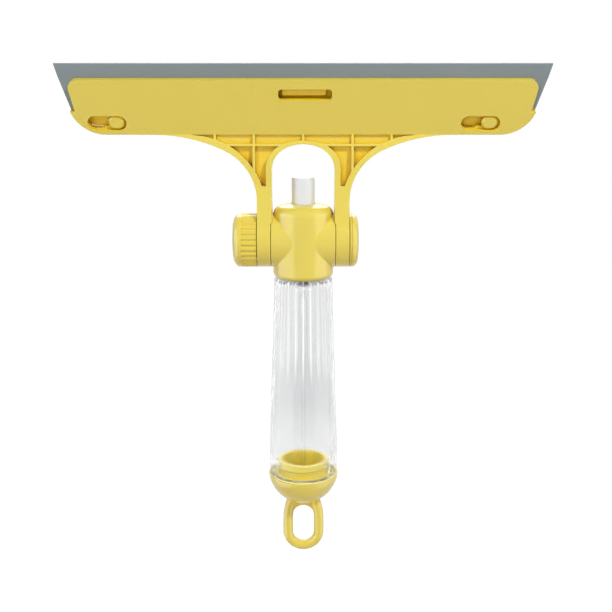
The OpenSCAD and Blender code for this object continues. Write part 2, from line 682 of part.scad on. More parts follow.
button_foot = button_top - button_len;
socket_top = button_foot + socket_len;
jet_h = button_top - jet_drop;
dish_r = 20;
module spray_button() color(white) at_pivot() difference() {
    translate([0, 0, button_foot]) cylinder(r = button_r, h = button_len);
    translate([0, 0, button_top - dish + dish_r]) sphere(r = dish_r);
    translate([0, 0, button_foot - 1]) cylinder(r = stem_r, h = socket_top - button_foot + 1);
    translate([0, 0, socket_top - eps]) cylinder(r = stem_bore_r, h = jet_h - socket_top);
    translate([0, 0, button_foot - 1]) difference() {
        cylinder(r = button_r - 1.2, h = 12);
        cylinder(r = stem_r + 1.3, h = 13);
    }
    translate([0, 0, jet_h]) rotate([-90, 0, 0]) {
        cylinder(r = stem_bore_r, h = button_r + 1);
        translate([0, 0, button_r - jet_t]) cylinder(r = jet_r, h = jet_t + 1);
    }
}
module nozzle_insert() color(white) at_pivot() translate([0, button_r - jet_t, jet_h]) rotate([-90, 0, 0])
    difference() {
        cylinder(r = jet_r, h = jet_t - 0.25);
        translate([0, 0, -1]) cylinder(r = 0.3, h = jet_t + 2);
        translate([0, 0, jet_t - 0.65]) cylinder(r1 = 0.3, r2 = 1.1, h = 0.5);
    }

collar_plug = 3;                                 // length of the collar inside the barrel
piston_top = collar_top - collar_plug - piston_rest;
piston_foot = piston_top - piston_len;
barrel_floor = collar_top - pump_len;
module pump_stem() color(white) at_pivot() difference() {
    translate([0, 0, piston_foot + piston_floor]) cylinder(r = stem_r, h = socket_top - piston_foot - piston_floor);
    translate([0, 0, piston_foot]) cylinder(r = stem_bore_r, h = far + piston_len);
}
module pump_piston() color("#d8dde0") at_pivot() translate([0, 0, piston_foot]) difference() {
    cylinder(r = barrel_bore_r - run_gap, h = piston_len);
    translate([0, 0, piston_floor]) cylinder(r = stem_r, h = piston_len);
    translate([0, 0, -1]) cylinder(r = stem_bore_r, h = piston_len);
    translate([0, 0, piston_len / 2 - 0.5]) difference() {
        cylinder(r = barrel_bore_r + 1, h = 1);
        cylinder(r = barrel_bore_r - 0.6, h = 1);
    }
}
spring_r = barrel_bore_r - wire_r - 0.35;
spring_h = piston_foot - barrel_floor;
function coil_ring(i, n) = let (a = 360 * spring_turns * i / n, z = wire_r + (spring_h - 2 * wire_r) * i / n)
    [for (k = [0:7]) let (b = 45 * k, r = spring_r + wire_r * cos(b))
        [r * cos(a), r * sin(a), z + wire_r * sin(b) * 0.98]];
coil_n = spring_turns * 14;
coil_pts = [for (i = [0:coil_n]) each coil_ring(i, coil_n)];
coil_faces = concat([[for (k = [0:7]) k]], [[for (k = [7:-1:0]) coil_n * 8 + k]],
    [for (i = [0:coil_n - 1], k = [0:7]) let (a = i * 8 + k, b = i * 8 + (k + 1) % 8) [a, a + 8, b + 8, b]]);
module pump_spring() color(steel) at_pivot() translate([0, 0, barrel_floor])
    polyhedron(points = coil_pts, faces = coil_faces);

turret_r = 5;
nipple_r = dip_r + 1.1;
seat_r = 0.8;
dip_top = barrel_floor - 3;
module pump_barrel() color("#f1f3f4") at_pivot() difference() {
    union() {
        translate([0, 0, collar_top - flange_t]) cylinder(r = flange_r, h = flange_t);
        translate([0, 0, barrel_floor - 1.5]) cylinder(r = barrel_bore_r + barrel_wall, h = pump_len + 1.5);
        translate([0, 0, barrel_floor - 1.5 - nipple_len]) cylinder(r = nipple_r, h = nipple_len + 1);
    }
    translate([0, 0, barrel_floor]) cylinder(r = barrel_bore_r, h = far);
    translate([0, 0, barrel_floor - far / 2]) cylinder(r = seat_r, h = far);
    translate([0, 0, dip_top - far / 2]) cylinder(r = dip_r, h = far / 2);
}
module pump_collar() color(white) at_pivot() difference() {
    union() {
        translate([0, 0, collar_top]) cylinder(r = turret_r - 0.1, h = 4);
        translate([0, 0, collar_top - collar_plug]) cylinder(r = barrel_bore_r, h = collar_plug + 1);
    }
    translate([0, 0, collar_top - collar_plug - 1]) cylinder(r = stem_r + run_gap, h = far);
}
module pump_gasket() color("#3c3f42") at_pivot() translate([0, 0, gasket_z]) difference() {
    cylinder(r = flange_r + 2, h = gasket_t);
    translate([0, 0, -1]) cylinder(r = barrel_bore_r + barrel_wall + 0.1, h = gasket_t + 2);
}
ball_z = barrel_floor + sqrt(ball_r * ball_r - seat_r * seat_r) + 0.03;
module inlet_ball() color(steel) at_pivot() translate([0, 0, ball_z]) sphere(r = ball_r);

bottle_end = -pivot_h - band_len / 2;             // lower end of the bottle, from the axis
ledge_z = bottle_end - seal_t;
cup_floor = ledge_z - cup_depth;
module dip_tube() color("#f4f6f6") at_pivot() difference() {
    translate([0, 0, cup_floor + dip_gap]) cylinder(r = dip_r, h = dip_top - cup_floor - dip_gap);
    translate([0, 0, cup_floor]) cylinder(r = dip_r - dip_wall, h = -cup_floor);
}

// ---- bottle ------------------------------------------------------------------------------

shoulder_z = -body_foot - free_gap;
band_z = -pivot_h + band_len / 2;
groove_r0 = bottle_top_r + flute_r - flute_depth;
bottle_slope = (band_r - bottle_top_r) / (shoulder_z - band_z);
groove_r1 = bottle_top_r + bottle_slope * flute_len + flute_r;

module flute_cutters() for (i = [0:flutes - 1]) rotate([0, 0, (i + 0.5) * 360 / flutes])
    translate([groove_r0, 0, shoulder_z]) rotate([0, atan2(groove_r1 - groove_r0, -flute_len), 0])
        translate([0, 0, -1]) cylinder(r = flute_r, h = flute_len + 1);

module bottle() color([0.86, 0.9, 0.92, 0.5]) at_pivot() difference() {
    rotate_extrude() polygon([
        [neck_bore_r, gasket_z], [neck_outer_r, gasket_z], [neck_outer_r, shoulder_z],
        [bottle_top_r - 0.4, shoulder_z], [bottle_top_r, shoulder_z - 0.4], [band_r, band_z],
        [band_r, bottle_end], [mouth_r, bottle_end], [mouth_r, bottle_end + mouth_len],
        [band_r - bottle_wall, bottle_end + mouth_len + 3], [band_r - bottle_wall, band_z],
        [bottle_top_r - bottle_wall, shoulder_z - 4], [neck_bore_r, shoulder_z - 1]]);
    flute_cutters();
}

// ---- base cap ----------------------------------------------------------------------------

cup_r = mouth_r - free_gap;
cup_in = cup_r - cup_wall;
bowl_floor_r = cup_in;
loop_z = ledge_z - loop_drop + seal_t;
hole_r = loop_half - bar_r + 0.15;
web_half = 0.55 * bar_r;                          // half thickness of the web between the bars and the bowl
bowl_z = bottle_end + bowl_rise;
bars_end_z = bowl_z - 0.85 * bowl_r;              // where the bars end, inside the bowl
web_top = bars_end_z - loop_z;
close_a = asin((web_top + loop_bend) / loop_close_r);

module bottle_seal() color("#dfe3e4") at_pivot() translate([0, 0, ledge_z]) difference() {
    cylinder(r = band_r - 0.5, h = seal_t);
    translate([0, 0, -1]) cylinder(r = cup_r + 0.2, h = seal_t + 2);
}

module base_cap() color(yellow) at_pivot() difference() {
    union() {
        intersection() {
            translate([0, 0, bowl_z]) sphere(r = bowl_r);
            translate([0, 0, ledge_z - 2 * bowl_r]) cylinder(r = 2 * bowl_r, h = 2 * bowl_r);
        }
        translate([0, 0, ledge_z - 1]) cylinder(r = cup_r, h = cup_len + 1);
        translate([0, 0, loop_z - loop_len]) {
            rotate([-90, 0, 0]) rotate_extrude(angle = 180) translate([loop_half, 0]) circle(r = bar_r);
            both_sides() translate([loop_half, 0, 0]) {
                cylinder(r = bar_r, h = loop_len - loop_bend);
                translate([-loop_close_r, 0, loop_len - loop_bend]) rotate([90, 0, 0])
                    rotate_extrude(angle = close_a) translate([loop_close_r, 0]) circle(r = bar_r);
            }
        }
        translate([0, 0, loop_z]) slab(-web_half, web_half) difference() {
            polygon([[-loop_half + bar_r / 2, 0], [loop_half - bar_r / 2, 0],
                [loop_half - bar_r, web_top], [bar_r - loop_half, web_top]]);
            circle(r = hole_r);
        }
    }
    translate([0, 0, cup_floor + bowl_floor_r]) {
        cylinder(r = cup_in, h = far);
        sphere(r = bowl_floor_r);
    }
}

head_yoke();
squeegee_blade();
pad_carrier();
pad_foam();
microfibre_cover();
swivel_body();
locking_knob();
knob_stud();
threaded_insert();
friction_washer();
retaining_washer();
pivot_screw();
pivot_end_cap();
spray_button();
nozzle_insert();
pump_stem();
pump_piston();
pump_spring();
pump_barrel();
pump_collar();
pump_gasket();
inlet_ball();
dip_tube();
bottle();
bottle_seal();
base_cap();
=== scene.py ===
"""Dresses a window squeegee: moulded yellow plastic, a rubber blade, a microfibre pad and a clear bottle.

The CAD solids stay where they are. This script gives them their finishes, replaces the pad's cover, the
bottle and the return spring with finer meshes, adds screw threads, an edging tape and stitches, and sets up a
plain studio.
"""
from __future__ import annotations

import logging
import math
from dataclasses import dataclass
from enum import Enum
from typing import Callable, Iterable, Sequence, Union

import bmesh
import bpy
import numpy as np
from mathutils import Matrix, Vector, noise

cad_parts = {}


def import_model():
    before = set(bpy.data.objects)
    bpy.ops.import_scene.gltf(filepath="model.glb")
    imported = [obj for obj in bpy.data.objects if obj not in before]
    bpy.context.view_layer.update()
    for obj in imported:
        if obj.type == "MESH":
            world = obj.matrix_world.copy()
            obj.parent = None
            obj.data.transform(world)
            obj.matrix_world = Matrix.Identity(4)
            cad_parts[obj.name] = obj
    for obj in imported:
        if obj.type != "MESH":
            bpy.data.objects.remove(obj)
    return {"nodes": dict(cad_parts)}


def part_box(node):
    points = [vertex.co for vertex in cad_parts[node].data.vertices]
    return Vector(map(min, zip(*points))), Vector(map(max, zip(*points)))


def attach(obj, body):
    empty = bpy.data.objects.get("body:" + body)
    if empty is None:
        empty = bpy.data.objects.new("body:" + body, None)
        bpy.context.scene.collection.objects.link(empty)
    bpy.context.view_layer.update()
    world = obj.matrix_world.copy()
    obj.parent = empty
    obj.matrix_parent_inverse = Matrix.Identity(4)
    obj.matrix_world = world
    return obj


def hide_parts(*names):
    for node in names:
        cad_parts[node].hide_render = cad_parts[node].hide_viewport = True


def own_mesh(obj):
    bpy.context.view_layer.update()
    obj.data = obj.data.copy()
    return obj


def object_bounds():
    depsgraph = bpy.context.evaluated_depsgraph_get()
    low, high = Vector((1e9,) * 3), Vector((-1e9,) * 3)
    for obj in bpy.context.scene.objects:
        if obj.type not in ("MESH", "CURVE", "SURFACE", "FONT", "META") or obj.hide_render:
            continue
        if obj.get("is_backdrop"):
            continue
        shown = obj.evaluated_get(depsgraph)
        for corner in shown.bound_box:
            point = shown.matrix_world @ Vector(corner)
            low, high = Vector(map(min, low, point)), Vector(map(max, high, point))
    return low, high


LOG = logging.getLogger("squeegee")
MM = 0.001
Colour = tuple[float, float, float]
Stretch = tuple[float, float, float]
WHITE_LIGHT: Colour = (1.0, 1.0, 1.0)
EDGE_SAMPLES = 6
DIRECT_RAYS = ("Is Camera Ray", "Is Glossy Ray", "Is Transmission Ray")
WELD_GAP = 2e-6
FLAT_DEG = 0.4
BEVEL_STEPS = 2


# ---- shader building -----------------------------------------------------------------------------------


class Signal:
    """One value in a material's node tree; arithmetic on it adds Math nodes."""

    def __init__(self, tree: "Tree", socket: bpy.types.NodeSocket) -> None:
        """Keeps the tree that the socket belongs to.

        Args:
            tree: the node tree under construction.
            socket: the output that carries the value.
        """
        self.tree = tree
        self.socket = socket

    def _math(self, operation: str, *values: "Value") -> "Signal":
        """Adds one Math node.

        Args:
            operation: the Math node's operation.
            values: what goes into its inputs, in order.

        Returns:
            The node's result.
        """
        node = self.tree.node("ShaderNodeMath", {"operation": operation}, dict(enumerate(values)))
        return Signal(self.tree, node.outputs[0])

    def __add__(self, other: "Value") -> "Signal":
        """self + other."""
        return self._math("ADD", self, other)

    def __radd__(self, other: "Value") -> "Signal":
        """other + self."""
        return self._math("ADD", other, self)

    def __sub__(self, other: "Value") -> "Signal":
        """self - other."""
        return self._math("SUBTRACT", self, other)

    def __rsub__(self, other: "Value") -> "Signal":
        """other - self."""
        return self._math("SUBTRACT", other, self)

    def __mul__(self, other: "Value") -> "Signal":
        """self * other."""
        return self._math("MULTIPLY", self, other)

    def __rmul__(self, other: "Value") -> "Signal":
        """other * self."""
        return self._math("MULTIPLY", other, self)

    def absolute(self) -> "Signal":
        """The value without its sign."""
        return self._math("ABSOLUTE", self)

    def angle_from(self, across: "Signal") -> "Signal":
        """The angle in radians whose tangent is this value over another."""
        return self._math("ARCTAN2", self, across)

    def sine(self) -> "Signal":
        """The sine of the value in radians."""
        return self._math("SINE", self)

    def step(self, low: float, high: float) -> "Signal":
        """A smooth step from 0 at low to 1 at high.

        Args:
            low: where the step begins.
            high: where it ends.

        Returns:
            The stepped value.
        """
        node = self.tree.node(
            "ShaderNodeMapRange",
            {"interpolation_type": "SMOOTHSTEP"},
            {"Value": self, "From Min": low, "From Max": high},
        )
        return Signal(self.tree, node.outputs["Result"])


Value = Union[Signal, float, int]
Input = Union[Signal, bpy.types.NodeSocket, float, int, Sequence[float], bool]


class Tree:
    """A node tree that starts empty."""

    def __init__(self, owner: bpy.types.Material | bpy.types.World) -> None:
        """Clears the owner's tree.

        Args:
            owner: the material or world.
        """
        owner.use_nodes = True
        self.tree = owner.node_tree
        self.tree.nodes.clear()

    def node(
        self,
        kind: str,
        settings: dict[str, object] | None = None,
        inputs: dict[str | int, Input] | None = None,
    ) -> bpy.types.Node:
        """Adds a node, sets its settings and then its inputs.

        Args:
            kind: the node's type.
            settings: its attributes.
            inputs: values or links by socket name or number.

        Returns:
            The new node.
        """
        made = self.tree.nodes.new(kind)
        for key, value in (settings or {}).items():
            setattr(made, key, value)
        for key, value in (inputs or {}).items():
            self.feed(made.inputs[key], value)
        return made

    def feed(self, socket: bpy.types.NodeSocket, value: Input) -> None:
        """Links or sets one input.

        Args:
            socket: the input.
            value: a signal or output to link, or a plain value to set.
        """
        source = value.socket if isinstance(value, Signal) else value
        if isinstance(source, bpy.types.NodeSocket):
            self.tree.links.new(source, socket)
        elif socket.type == "RGBA" and isinstance(source, (tuple, list)) and len(source) == 3:
            socket.default_value = (*source, 1.0)
        else:
            socket.default_value = source


class Shading(Tree):
    """The node tree of one material, with its Principled shader and output in place."""

    def __init__(self, name: str) -> None:
        """Makes the material.

        Args:
            name: the material's name.
        """
        self.material = bpy.data.materials.new(name)
        super().__init__(self.material)
        self.surface = self.node("ShaderNodeBsdfPrincipled")
        self.node("ShaderNodeOutputMaterial", inputs={"Surface": self.surface.outputs[0]})

    def place(self) -> bpy.types.NodeSocket:
        """The coordinates of a surface point in metres."""
        return self.node("ShaderNodeTexCoord").outputs["Object"]

    def axes(self) -> tuple[Signal, Signal, Signal]:
        """The x, y and z of a surface point in metres."""
        split = self.node("ShaderNodeSeparateXYZ", inputs={0: self.place()})
        return tuple(Signal(self, out) for out in split.outputs)

    def bearing(self) -> Signal:
        """The angle of a surface point round the Z axis, in radians."""
        across, deep, _ = self.axes()
        return deep.angle_from(across)

    def grain(
        self, scale: float, detail: float = 3.0, roughness: float = 0.55, stretch: Stretch = (1, 1, 1)
    ) -> Signal:
        """A noise of the given scale.

        Args:
            scale: features per metre.
            detail: octaves.
            roughness: how much the fine octaves count.
            stretch: scale along x, y and z.

        Returns:
            The noise, about 0.5 on average.
        """
        mapped = self.node("ShaderNodeMapping", inputs={"Vector": self.place(), "Scale": stretch})
        made = self.node(
            "ShaderNodeTexNoise",
            inputs={"Vector": mapped.outputs[0], "Scale": scale, "Detail": detail, "Roughness": roughness},
        )
        return Signal(self, made.outputs[0])

    def cells(self, scale: float) -> Signal:
        """The distance to the nearest cell centre.

        Args:
            scale: cells per metre.

        Returns:
            The distance, from 0 to about 1.
        """
        made = self.node("ShaderNodeTexVoronoi", inputs={"Vector": self.place(), "Scale": scale})
        return Signal(self, made.outputs["Distance"])

    def blend(self, factor: Value, low: Input, high: Input) -> bpy.types.NodeSocket:
        """Mixes two colours.

        Args:
            factor: 0 for low, 1 for high.
            low: a colour or a colour output.
            high: a colour or a colour output.

        Returns:
            The mixed colour.
        """
        mix = self.node("ShaderNodeMix", {"data_type": "RGBA"})
        self.feed(mix.inputs[0], factor)
        self.feed(mix.inputs[6], low)
        self.feed(mix.inputs[7], high)
        return mix.outputs[2]

    def openness(self, reach: float, alone: bool) -> Signal:
        """How open the surface is to its surroundings.

        Args:
            reach: how far away a neighbour still counts, in metres.
            alone: whether only the piece itself counts.

        Returns:
            1 in the open, less in a hollow.
        """
        settings = {"samples": EDGE_SAMPLES, "only_local": alone}
        made = self.node("ShaderNodeAmbientOcclusion", settings, {"Distance": reach})
        return Signal(self, made.outputs["AO"])

    def grazing(self) -> Signal:
        """0 where the surface is seen square on, and 1 where it is seen edge on."""
        return Signal(self, self.node("ShaderNodeLayerWeight", inputs={"Blend": 0.5}).outputs["Facing"])

    def rounded(self, radius: float) -> bpy.types.NodeSocket:
        """Normals that round every edge off.

        Args:
            radius: the rounding in metres.

        Returns:
            The normal output.
        """
        return self.node("ShaderNodeBevel", {"samples": EDGE_SAMPLES}, {"Radius": radius}).outputs[0]

    def bump(self, height: Signal, distance: float, normal: bpy.types.NodeSocket | None = None) -> None:
        """Feeds the surface's normal from a height.

        Args:
            height: the height, where 1 stands distance proud of 0.
            distance: the height's size in metres.
            normal: the normal to start from.
        """
        inputs: dict[str | int, Input] = {"Height": height, "Distance": distance, "Strength": 1.0}
        if normal is not None:
            inputs["Normal"] = normal
        made = self.node("ShaderNodeBump", inputs=inputs)
        self.feed(self.surface.inputs["Normal"], made.outputs[0])

    def set(self, **values: Input) -> None:
        """Sets the Principled shader's inputs, with _ for a space in their names.

        Args:
            values: a value or a link for each input.
        """
        for name, value in values.items():
            self.feed(self.surface.inputs[name.replace("_", " ")], value)


# ---- finishes ------------------------------------------------------------------------------------------


def darker(colour: Colour, share: float) -> Colour:
    """The colour with only a share of its brightness."""
    return tuple(share * c for c in colour)


@dataclass(frozen=True)
class MouldedPlastic:
    """Injection-moulded plastic with a soft gloss, a fine grain and painted shade in its hollows."""

    name: str
    colour: Colour
    deep: Colour
    # painted shade: the colour in hollows, recesses and gaps
    hollow: Colour
    roughness: float = 0.36
    grain: float = 6e-6
    rounding: float = 0.35e-3
    glow: float = 0.0
    shine: float = 0.4
    coat: float = 0.5
    # how far away a neighbour still brings painted shade, in metres
    shade_reach: float = 2e-3
    alone: bool = True
    # a darker painted shade for the deepest hollows, if any
    pit_shade: Colour | None = None
    drift_scale: float = 28.0
    drift_share: float = 0.3
    drift_relief: float = 0.6
    texture_scale: float = 2600.0
    texture_share: float = 0.05
    rub_scale: float = 90.0
    rub_share: float = 0.12
    coat_roughness: float = 0.16
    bleed: Colour = (1.0, 0.6, 0.1)
    bleed_reach: float = 0.0015
    open_from: float = 0.4
    open_to: float = 0.93
    pit_full: float = 0.12
    pit_end: float = 0.5

    def build(self) -> bpy.types.Material:
        """Makes the material.

        Returns:
            The finished material.
        """
        shade = Shading(self.name)
        drift = shade.grain(self.drift_scale, 2.0)
        plain = shade.blend(drift.step(0.3, 0.7) * self.drift_share, self.colour, self.deep)
        # Painted shade: in hollows that ambient occlusion finds, the colour deepens, most in pits, and the
        # coat fades.
        sky = shade.openness(self.shade_reach, self.alone)
        outside = sky.step(self.open_from, self.open_to)
        hollow: Input = self.hollow
        if self.pit_shade:
            hollow = shade.blend(sky.step(self.pit_full, self.pit_end), self.pit_shade, self.hollow)
        texture = shade.grain(self.texture_scale, 2.0, 0.6)
        rub = shade.grain(self.rub_scale, 4.0, 0.6)
        shade.set(
            Base_Color=shade.blend(outside, hollow, plain),
            Roughness=self.roughness + (rub - 0.5) * self.rub_share + (texture - 0.5) * self.texture_share,
            Specular_IOR_Level=self.shine,
            Coat_Weight=outside * self.coat,
            Coat_Roughness=self.coat_roughness,
            Subsurface_Weight=self.glow,
            Subsurface_Radius=self.bleed,
            Subsurface_Scale=self.bleed_reach,
        )
        shade.bump(texture + drift * self.drift_relief, self.grain, shade.rounded(self.rounding))
        return shade.material


@dataclass(frozen=True)
class BladeRubber:
    """Smooth matt rubber with faint draw lines along its length and a cut wiping edge."""

    name: str
    colour: Colour
    pale: Colour
    roughness: float = 0.5
    shine: float = 0.4
    bloom_scale: float = 60.0
    bloom_share: float = 0.5
    bloom_matt: float = 0.2
    line_scale: float = 1400.0
    relief: float = 1.2e-5
    rounding: float = 0.12 * MM

    def build(self) -> bpy.types.Material:
        """Makes the material.

        Returns:
            The finished material.
        """
        shade = Shading(self.name)
        bloom = shade.grain(self.bloom_scale, 3.0, 0.6, (0.25, 1.0, 1.0))
        lines = shade.grain(self.line_scale, 2.0, 0.5, (0.01, 1.0, 1.0))
        shade.set(
            Base_Color=shade.blend(bloom.step(0.35, 0.75) * self.bloom_share, self.colour, self.pale),
            Roughness=self.roughness + (bloom - 0.5) * self.bloom_matt,
            Specular_IOR_Level=self.shine,
        )
        shade.bump(lines + bloom, self.relief, shade.rounded(self.rounding))
        return shade.material


@dataclass(frozen=True)
class ClearPlastic:
    """Polished clear plastic with a faint tint, painted dark rims and, on a fluted wall, painted bright
    ridges.

    It is thinnest to the eye at its foot, and clearer up to clear_to than above. It bends light less than a
    real wall does, so that what stands behind it stays in place. Heights are in metres.
    """

    name: str
    tint: Colour
    # painted shade on the wall where it is seen edge on
    rim: Colour
    solid: float = 0.8
    roughness: float = 0.02
    ripple: float = 8e-6
    flutes: int = 0
    foot: float = -1.0
    flutes_end: float = 0.0
    shoulder: float = 0.0
    film: float = 0.22
    foot_fade: float = 6 * MM
    clear_to: float = 12 * MM
    clear_fade: float = 18 * MM
    rim_from: float = 0.62
    rim_to: float = 0.97
    rim_fade: float = 16 * MM
    ridge_from: float = 0.86
    ridge_to: float = 0.985
    ridge_fade: float = 12 * MM
    neck_fade: float = 0.5 * MM
    index: float = 1.1
    gloss_foot: float = 0.15
    gloss_above: float = 0.4
    gloss_roughness: float = 0.02
    flow_scale: float = 45.0
    haze_scale: float = 160.0
    haze_share: float = 0.02

    def tint_and_painted_light(self, shade: Shading) -> bpy.types.NodeSocket:
        """The wall's colour: its tint, painted rim shade and, when fluted, painted ridge highlights and neck
        shade.

        Args:
            shade: the material under construction.

        Returns:
            The colour output.
        """
        # Painted shade: the wall darkens to the rim colour where it is seen edge on.
        edge = shade.grazing().step(self.rim_from, self.rim_to)
        if not self.flutes:
            return shade.blend(edge, self.tint, self.rim)
        _, _, up = shade.axes()
        # Painted highlight: white on the flute ridges. Painted shade: the rim colour over the neck above the
        # shoulder; the edge shade fades out towards the foot.
        round_wall = (shade.bearing() * (self.flutes / 2) + math.pi / 2).sine().absolute()
        fluted = up.step(self.flutes_end, self.flutes_end + self.ridge_fade)
        ridge = round_wall.step(self.ridge_from, self.ridge_to) * fluted
        neck = up.step(self.shoulder - self.neck_fade, self.shoulder + self.neck_fade)
        wall = shade.blend(ridge, shade.blend(neck, self.tint, self.rim), WHITE_LIGHT)
        return shade.blend(edge * (1 - neck) * up.step(self.foot, self.foot + self.rim_fade), wall, self.rim)

    def build(self) -> bpy.types.Material:
        """Makes the material.

        Returns:
            The finished material.
        """
        shade = Shading(self.name)
        _, _, up = shade.axes()
        flow = shade.grain(self.flow_scale, 2.0, 0.5, (1.0, 1.0, 0.3))
        haze = shade.grain(self.haze_scale, 3.0)
        off_foot = up.step(self.foot, self.foot + self.foot_fade)
        above = up.step(self.clear_to, self.clear_to + self.clear_fade)
        shade.set(
            Base_Color=self.tint_and_painted_light(shade),
            Transmission_Weight=1.0,
            IOR=self.index,
            Coat_Weight=self.gloss_foot + above * self.gloss_above,
            Coat_Roughness=self.gloss_roughness,
            Alpha=self.film + off_foot * self.film + above * (self.solid - 2 * self.film),
            Roughness=self.roughness + haze.step(0.55, 0.8) * self.haze_share,
        )
        shade.bump(flow, self.ripple)
        return shade.material


@dataclass(frozen=True)
class MilkyPlastic:
    """Thin natural plastic, as of seals and pump parts."""

    name: str
    colour: Colour
    through: float = 0.35
    roughness: float = 0.4
    index: float = 1.47
    cloud_scale: float = 220.0
    cloud_share: float = 0.3
    cloud_matt: float = 0.1
    relief: float = 6e-6
    rounding: float = 0.1e-3

    def build(self) -> bpy.types.Material:
        """Makes the material.

        Returns:
            The finished material.
        """
        shade = Shading(self.name)
        cloud = shade.grain(self.cloud_scale, 3.0)
        shade.set(
            Base_Color=shade.blend(cloud * self.cloud_share, self.colour, darker(self.colour, 0.9)),
            Roughness=self.roughness + (cloud - 0.5) * self.cloud_matt,
            Transmission_Weight=self.through,
            IOR=self.index,
        )
        shade.bump(cloud, self.relief, shade.rounded(self.rounding))
        return shade.material


@dataclass(frozen=True)
class TurnedMetal:
    """Metal with fine rings from the lathe."""

    name: str
    colour: Colour
    roughness: float = 0.28
    ring_scale: float = 5200.0
    stain_scale: float = 300.0
    stain_share: float = 0.5
    stain_matt: float = 0.12
    relief: float = 6e-6
    rounding: float = 0.08e-3

    def build(self) -> bpy.types.Material:
        """Makes the material.

        Returns:
            The finished material.
        """
        shade = Shading(self.name)
        rings = shade.grain(self.ring_scale, 1.0, 0.5, (1.0, 0.02, 0.02))
        stain = shade.grain(self.stain_scale, 3.0)
        stained = stain.step(0.45, 0.8) * self.stain_share
        shade.set(
            Base_Color=shade.blend(stained, self.colour, darker(self.colour, 0.7)),
            Metallic=1.0,
            Roughness=self.roughness + stain * self.stain_matt,
        )
        shade.bump(rings, self.relief, shade.rounded(self.rounding))
        return shade.material


@dataclass(frozen=True)
class OpenFoam:
    """Soft open-cell foam, with painted shade in its pores."""

    name: str
    colour: Colour
    cells_per_m: float = 1500.0
    relief: float = 2.5e-4

    def build(self) -> bpy.types.Material:
        """Makes the material.

        Returns:
            The finished material.
        """
        shade = Shading(self.name)
        # Painted shade: the foam is darker in its pores than on the cell walls.
        pores = shade.cells(self.cells_per_m)
        shade.set(
            Base_Color=shade.blend(pores.step(0.1, 0.6), darker(self.colour, 0.55), self.colour),
            Roughness=0.95,
        )
        shade.bump(pores, self.relief)
        return shade.material


@dataclass(frozen=True)
class Microfibre:
    """Short looped microfibre pile in close rows."""

    name: str
    colour: Colour
    shadow: Colour
    pitch: float = 1.1e-3
    fuzz_scale: float = 6500.0
    brush_scale: float = 70.0
    relief: float = 4.5e-4

    def build(self) -> bpy.types.Material:
        """Makes the material.

        Returns:
            The finished material.
        """
        shade = Shading(self.name)
        tufts = shade.cells(1.0 / self.pitch)
        fuzz = shade.grain(self.fuzz_scale, 3.0, 0.7)
        brushed = shade.grain(self.brush_scale, 3.0, 0.6)
        lie = 1 - tufts.step(0.05, 0.75)
        light = (lie * 0.75 + fuzz * 0.25) * (0.75 + brushed * 0.5)
        shade.set(
            Base_Color=shade.blend(light, self.shadow, self.colour),
            Roughness=0.92,
            Specular_IOR_Level=0.15,
            Sheen_Weight=0.45,
            Sheen_Roughness=0.45,
        )
        shade.bump(lie + fuzz * 0.5, self.relief)
        return shade.material


@dataclass(frozen=True)
class WovenTape:
    """Flat woven tape with a fine rib, painted shade in the rib's valleys and a random tone."""

    name: str
    colour: Colour
    rib_pitch: float = 0.8 * MM
    weft_pitch: float = 1.1 * MM
    fuzz_scale: float = 5000.0
    relief: float = 8e-5

    def build(self) -> bpy.types.Material:
        """Makes the material.

        Returns:
            The finished material.
        """
        shade = Shading(self.name)
        across, _, up = shade.axes()
        rib = (across * (2 * math.pi / self.rib_pitch)).sine() * 0.5 + 0.5
        weft = (up * (2 * math.pi / self.weft_pitch)).sine() * 0.5 + 0.5
        fuzz = shade.grain(self.fuzz_scale, 2.0)
        # Painted shade in the rib's valleys, mixed with a random tone from the fuzz.
        shade.set(
            Base_Color=shade.blend(rib * 0.5 + fuzz * 0.5, darker(self.colour, 0.72), self.colour),
            Roughness=0.85,
            Sheen_Weight=0.2,
        )
        shade.bump(rib * 0.7 + weft * 0.3 + fuzz * 0.4, self.relief)
        return shade.material


